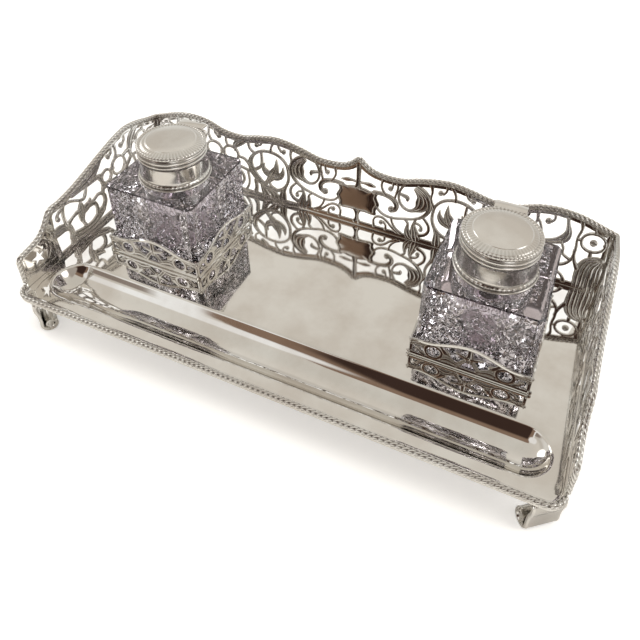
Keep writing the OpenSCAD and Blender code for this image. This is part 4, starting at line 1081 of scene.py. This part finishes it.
def lid(name, x):
    bm = new_mesh()
    shell = [(15.6, 0.05), (17.5, 0.05), (17.75, 0.3), (18.0, 0.75), (18.0, 1.3), (17.85, 1.75), (17.6, 1.95),
             (17.6, 2.15), (17.2, 2.5), (17.0, 2.9), (16.9, 3.6), (16.5, 4.35), (15.8, 4.95), (15.0, 5.3),
             (14.2, 5.52), (13.6, 5.58), (13.15, 5.62), (12.9, 5.75), (12.75, 5.95), (12.5, 6.0), (8, 6.0),
             (0, 6.0)]
    inside = [(0, 4.8), (13.4, 4.4), (15.4, 3.4), (15.6, 0.05)]
    verts = turned(bm, shell + inside, 3 * LOBES)
    shoulder = lambda r, z: min(1.0, (r - 13.1) / 0.6) if r > 13.1 and z > 3.7 else 0.0
    gadroon(bm, verts, LOBES, shoulder, 0.2)
    groove = bm.verts.layers.float["groove"]
    for vert in verts:
        if 1.85 < vert.co.z < 2.25 and vert.co.xy.length > 17:
            vert[groove] = 0.8
    bmesh.ops.translate(bm, vec=(x, WELL_Y, FLOOR + JOINT), verts=bm.verts)
    return finish_piece(f"{name}_spun_lid", bm, f"{name}_cover", [f"{name}_lid"], SPUN_SILVER,
                        sharp=50)


def lid_beads(name, x):
    """The row of beads that ends the lid's gadroons."""
    bm = new_mesh()
    around, rows = LOBES * 5, 10
    groove = bm.verts.layers.float["groove"]

    def place(u, v):
        lobe = abs(cos(LOBES * tau * u / 2)) ** 0.55
        r = 1.2 * (0.82 + 0.18 * lobe)
        out = 16.8 + r * cos(tau * v)
        return (out * cos(tau * u), out * sin(tau * u), 3.9 + r * sin(tau * v), (1 - lobe) ** 1.5)

    bent_grid(bm, around, rows, place)
    bmesh.ops.translate(bm, vec=(x, WELL_Y, FLOOR + JOINT), verts=bm.verts)
    return finish_piece(f"{name}_bead_edge", bm, f"{name}_cover", [f"{name}_lid_bead_ring"],
                        ROPE_SILVER)


for name, x in WELLS.items():
    bottle(name, x)
    collar(name, x)
    neck_plaster(name, x)
    lid(name, x)
    lid_beads(name, x)

# %% [markdown]
# ## Lid hinges
# A flush hinge: two knuckles on the collar hold the pin, and the lid's leaf ends in the middle
# knuckle under a flat tab. The knuckles are short pieces of tube with softened ends.
# %% Hinges
HINGE_Y = 20.0
KNUCKLE_R = 1.9


def tube(bm, x0, x1, outer, inner, steps=28, soft=0.12):
    """A piece of tube along x with soft ends, centred on the axis."""
    profile = [(inner, x0), (outer - soft, x0), (outer, x0 + soft), (outer, x1 - soft), (outer - soft, x1),
               (inner, x1)]
    verts = turned(bm, profile + profile[:1], steps)
    bmesh.ops.rotate(bm, cent=(0, 0, 0), matrix=Matrix.Rotation(pi / 2, 3, "Y"), verts=verts)
    return verts


def slab(bm, low, high, soft=0.15):
    """A block between two corners with softened edges."""
    made = bmesh.ops.create_cube(bm, size=1.0)["verts"]
    low, high = Vector(low), Vector(high)
    bmesh.ops.scale(bm, vec=high - low, verts=made)
    bmesh.ops.translate(bm, vec=(low + high) / 2, verts=made)
    edges = list({e for v in made for e in v.link_edges})
    bmesh.ops.bevel(bm, geom=edges, offset=soft, offset_type="OFFSET", segments=2, profile=0.5,
                    affect="EDGES", material=-1)


def to_hinge(bm, x):
    bmesh.ops.translate(bm, vec=(x, WELL_Y + HINGE_Y, FLOOR + JOINT), verts=bm.verts)


def hinge(name, x):
    bm = new_mesh()
    for sign in (-1, 1):
        a, b = sorted((sign * 2.6, sign * 7.5))
        tube(bm, a, b, KNUCKLE_R, 0.7)
    to_hinge(bm, x)
    outer = finish_piece(f"{name}_hinge_knuckles", bm, f"{name}_inkwell", [f"{name}_collar_knuckles"],
                         CAST_SILVER)
    bm = new_mesh()
    slab(bm, (-7.5, -2.4, -2.5), (7.5, 0.6, -1.95))
    to_hinge(bm, x)
    strap = finish_piece(f"{name}_hinge_strap", bm, f"{name}_inkwell", [f"{name}_collar_knuckles"],
                         CAST_SILVER)
    bm = new_mesh()
    tube(bm, -7.8, 7.8, 0.7, 0.001, steps=20, soft=0.2)
    to_hinge(bm, x)
    finish_piece(f"{name}_hinge_wire", bm, f"{name}_inkwell", [f"{name}_hinge_pin"], PIN_SILVER)
    bm = new_mesh()
    tube(bm, -2.5, 2.5, KNUCKLE_R, 0.75)
    slab(bm, (-2.5, -2.2, 0.5), (2.5, 1.0, 3.8))
    slab(bm, (-7.5, -3.4, 3.42), (7.5, 1.9, 5.0), soft=0.3)
    to_hinge(bm, x)
    finish_piece(f"{name}_hinge_leaf", bm, f"{name}_cover", [f"{name}_lid_leaf"], CAST_SILVER)


for name, x in WELLS.items():
    hinge(name, x)

# %% [markdown]
# ## Studio
# Polished silver shows its surroundings, so the room matters as much as the metal. Each surface mirrors
# another part of it: the floor of the tray shows the wall behind, the trough's far wall shows what is
# behind the viewer. A pale room alone would leave the silver flat and grey. So there is a large brown
# shape on the viewer's side, as of someone who bends over the table, with a bright window at its left
# edge, a grey wall beyond that, and a dark skirting low down. A region of directions is easiest to
# write as "on this side of a plane": the dot product of the direction and the plane's normal, turned
# into a step. Rays that go straight from the camera see plain white instead.
# %% Room
def beyond(tree, way, normal, low, high):
    """1 for directions well on the side of a plane that its normal points to, and 0 on the other side."""
    toward = add(tree, "ShaderNodeVectorMath", {"operation": "DOT_PRODUCT"}, i0=way,
                 i1=tuple(Vector(normal).normalized())).outputs["Value"]
    return add(tree, "ShaderNodeMapRange", {"interpolation_type": "SMOOTHSTEP"}, Value=toward, i1=low, i2=high,
               i3=0.0, i4=1.0).outputs[0]


def both(tree, one, other):
    """The product of two shares."""
    return add(tree, "ShaderNodeMath", {"operation": "MULTIPLY"}, i0=one, i1=other).outputs[0]


def painted(tree, under, share, code):
    """A colour laid over another one where the share is 1."""
    return add(tree, "ShaderNodeMixRGB", Fac=share, Color1=under, Color2=linear(code)).outputs[0]


def room():
    world = bpy.data.worlds.new("pale studio")
    bpy.context.scene.world = world
    world.use_nodes = True
    tree = world.node_tree
    tree.nodes.clear()
    way = add(tree, "ShaderNodeTexCoord").outputs["Generated"]
    height = add(tree, "ShaderNodeSeparateXYZ", Vector=way).outputs["Z"]
    ramp = add(tree, "ShaderNodeValToRGB", Fac=height)
    stops = ramp.color_ramp.elements
    stops[0].position, stops[0].color = 0.0, linear("#efeeea")
    stops[1].position, stops[1].color = 0.35, linear("#efeeea")
    for at, code in ((0.48, "#d4cfc8"), (0.56, "#d9d4cc"), (0.64, "#e6e1d9"), (0.8, "#e2ddd5"), (1.0, "#dcd9d2")):
        stop = stops.new(at)
        stop.color = linear(code)
    colour = ramp.outputs[0]
    viewer = beyond(tree, way, (0, -1, 0), -0.1, 0.15)
    low = beyond(tree, way, (0, 0, -1), -0.09, -0.03)
    colour = painted(tree, colour, both(tree, viewer, low), "#5d5853")
    wall = both(tree, beyond(tree, way, (-1, 0, 0), 0.465, 0.49), beyond(tree, way, (0, -1, -1.2), 0.0, 0.06))
    colour = painted(tree, colour, wall, "#968a82")
    side = both(tree, beyond(tree, way, (1, 0, 0), 0.3, 0.4), viewer)
    colour = painted(tree, colour, side, "#b4ada5")
    left_edge = beyond(tree, way, (0.893, -0.443, 0.084), 0.0, 0.012)
    top_edge = beyond(tree, way, (0, -0.94, -0.342), 0.0, 0.03)
    right_edge = beyond(tree, way, (-1, 0, 0), -0.4, -0.3)
    low_edge = beyond(tree, way, (0, 0, 1), 0.2, 0.27)
    coat = both(tree, both(tree, left_edge, top_edge), both(tree, right_edge, low_edge))
    colour = painted(tree, colour, coat, "#8f7766")
    folds = both(tree, beyond(tree, way, (0.893, -0.443, 0.084), 0.13, 0.2),
                 beyond(tree, way, (0, -0.88, -0.3), 0.18, 0.3))
    colour = painted(tree, colour, both(tree, coat, folds), "#40302a")
    pane = both(tree, both(tree, beyond(tree, way, (-1, 0, 0), 0.405, 0.42), beyond(tree, way, (1, 0, 0), -0.485,
                -0.465)), beyond(tree, way, (0, -0.88, -0.45), -0.05, 0.05))
    colour = painted(tree, colour, pane, "#ffffff")
    for spot in ((-0.5, -0.48, 0.72), (-0.37, -0.52, 0.77)):
        colour = painted(tree, colour, beyond(tree, way, spot, 0.982, 0.994), "#ffffff")
    for spot, bright in (((0.75, 0.1, 0.65), 2.6), ((-0.85, 0.2, 0.5), 2.6), ((0.6, -0.75, 0.3), 1.8)):
        glow = beyond(tree, way, spot, 0.965, 0.99)
        colour = add(tree, "ShaderNodeMixRGB", Fac=glow, Color1=colour, Color2=(bright, bright, bright, 1.0)).outputs[0]
    ray = add(tree, "ShaderNodeLightPath")
    seen = add(tree, "ShaderNodeBackground", Color=(1, 1, 1, 1), Strength=1.0)
    lit = add(tree, "ShaderNodeBackground", Color=colour, Strength=1.0)
    seen_or_lit = add(tree, "ShaderNodeMixShader", i0=ray.outputs["Is Camera Ray"], i1=lit.outputs[0],
                      i2=seen.outputs[0])
    add(tree, "ShaderNodeOutputWorld", Surface=seen_or_lit.outputs[0])


room()


# %% [markdown]
# The table is plain and pale. For camera rays a little of its own light tops it up to white, and the
# stand's soft shadow stays.
# %% Table and lamps
def table():
    material, tree = new_material("matt white table")
    ray = add(tree, "ShaderNodeLightPath")
    paint = add(tree, "ShaderNodeBsdfPrincipled", Base_Color=linear("#f2f0ec"), Roughness=0.9)
    glow = add(tree, "ShaderNodeEmission", Color=(1, 1, 1, 1), Strength=0.42)
    lifted = add(tree, "ShaderNodeAddShader", i0=paint.outputs[0], i1=glow.outputs[0])
    mixed = add(tree, "ShaderNodeMixShader", i0=ray.outputs["Is Camera Ray"], i1=paint.outputs[0],
                i2=lifted.outputs[0])
    add(tree, "ShaderNodeOutputMaterial", Surface=mixed.outputs[0])
    bm = bmesh.new()
    bmesh.ops.create_grid(bm, x_segments=1, y_segments=1, size=4.0)
    mesh = bpy.data.meshes.new("table")
    bm.to_mesh(mesh)
    bm.free()
    mesh.materials.append(material)
    top = bpy.data.objects.new("table", mesh)
    bpy.context.scene.collection.objects.link(top)


def lamp(name, place, size, power):
    light = bpy.data.lights.new(name, "AREA")
    light.shape = "RECTANGLE"
    light.size, light.size_y = size
    light.energy = power
    holder_of = bpy.data.objects.new(name, light)
    holder_of.location = place
    aim = Vector((0, 0, 0.04)) - Vector(place)
    holder_of.rotation_euler = aim.to_track_quat("-Z", "Y").to_euler()
    holder_of.visible_glossy = False
    bpy.context.scene.collection.objects.link(holder_of)


table()
lamp("window", (0.9, 0.1, 0.9), (0.6, 0.6), 4.0)
lamp("overhead", (-0.1, -0.2, 1.3), (0.6, 0.6), 4.0)

# %% [markdown]
# The tray mirrors its galleries, and in their openings one expects the same white as behind the real
# ones. Photographers stand a white card close behind a pierced piece for this. Here each card has its
# gallery's outline and only mirrored rays see it. Rays shorter than 6 mm pass through it, so that the
# back of the gallery isn't lit up by its own card.
# %% White cards
def white_card(name, points, spot):
    """A card with an outline of (x, height) points, 1.6 mm behind a gallery."""
    material, tree = new_material(f"white card {name}")
    ray = add(tree, "ShaderNodeLightPath")
    far = add(tree, "ShaderNodeMath", {"operation": "GREATER_THAN"}, i0=ray.outputs["Ray Length"], i1=6 * MM)
    clear = add(tree, "ShaderNodeBsdfTransparent")
    white = add(tree, "ShaderNodeEmission", Color=(1, 1, 1, 1), Strength=1.25)
    mixed = add(tree, "ShaderNodeMixShader", i0=far.outputs[0], i1=clear.outputs[0], i2=white.outputs[0])
    add(tree, "ShaderNodeOutputMaterial", Surface=mixed.outputs[0])
    bm = bmesh.new()
    bm.faces.new([bm.verts.new(spot(x, h - 1.5, -1.6) * MM) for x, h in points])
    bmesh.ops.triangulate(bm, faces=bm.faces[:])
    mesh = bpy.data.meshes.new(f"white_card_{name}")
    bm.to_mesh(mesh)
    bm.free()
    mesh.materials.append(material)
    card = bpy.data.objects.new(f"white_card_{name}", mesh)
    bpy.context.scene.collection.objects.link(card)
    for kind in ("camera", "diffuse", "transmission", "volume_scatter", "shadow"):
        setattr(card, f"visible_{kind}", False)


half = [p for p in CREST if p[0] < HALF_W]
white_card("back", [(-x, h) for x, h in half[:0:-1]] + half + [(HALF_W - 1, 3), (1 - HALF_W, 3)], back_point)
side = [p for p in SIDE if 1 < p[0] <= SIDE_L] + [(1.5, 3), (SIDE_L - 1, 3)]
white_card("left", side, side_point(-1))
white_card("right", side, side_point(1))

# %% [markdown]
# The camera stands where the photograph's did. Its place and lens were fitted to the tray's corners
# and the blocks' edges; the shift is there because the photograph was cropped off its middle.
# %% Camera
def camera():
    lens = bpy.data.cameras.new("camera")
    lens.sensor_width = 36.0
    lens.lens = 36.834
    lens.shift_x, lens.shift_y = -0.0134, -0.215
    lens.clip_start, lens.clip_end = 0.01, 50.0
    eye = bpy.data.objects.new("camera", lens)
    azimuth, tilt, roll = math.radians(23.25), math.radians(35.78), math.radians(1.14)
    forward = Vector((-sin(azimuth) * cos(tilt), cos(azimuth) * cos(tilt), -sin(tilt)))
    right = forward.cross(Vector((0, 0, 1))).normalized()
    up = right.cross(forward)
    right, up = cos(roll) * right + sin(roll) * up, cos(roll) * up - sin(roll) * right
    eye.matrix_world = Matrix.Translation((0.10224, -0.21699, 0.26672)) @ Matrix(
        (right, up, -forward)).transposed().to_4x4()
    bpy.context.scene.collection.objects.link(eye)
    bpy.context.scene.camera = eye


camera()
bpy.context.scene.view_settings.view_transform = "Standard"
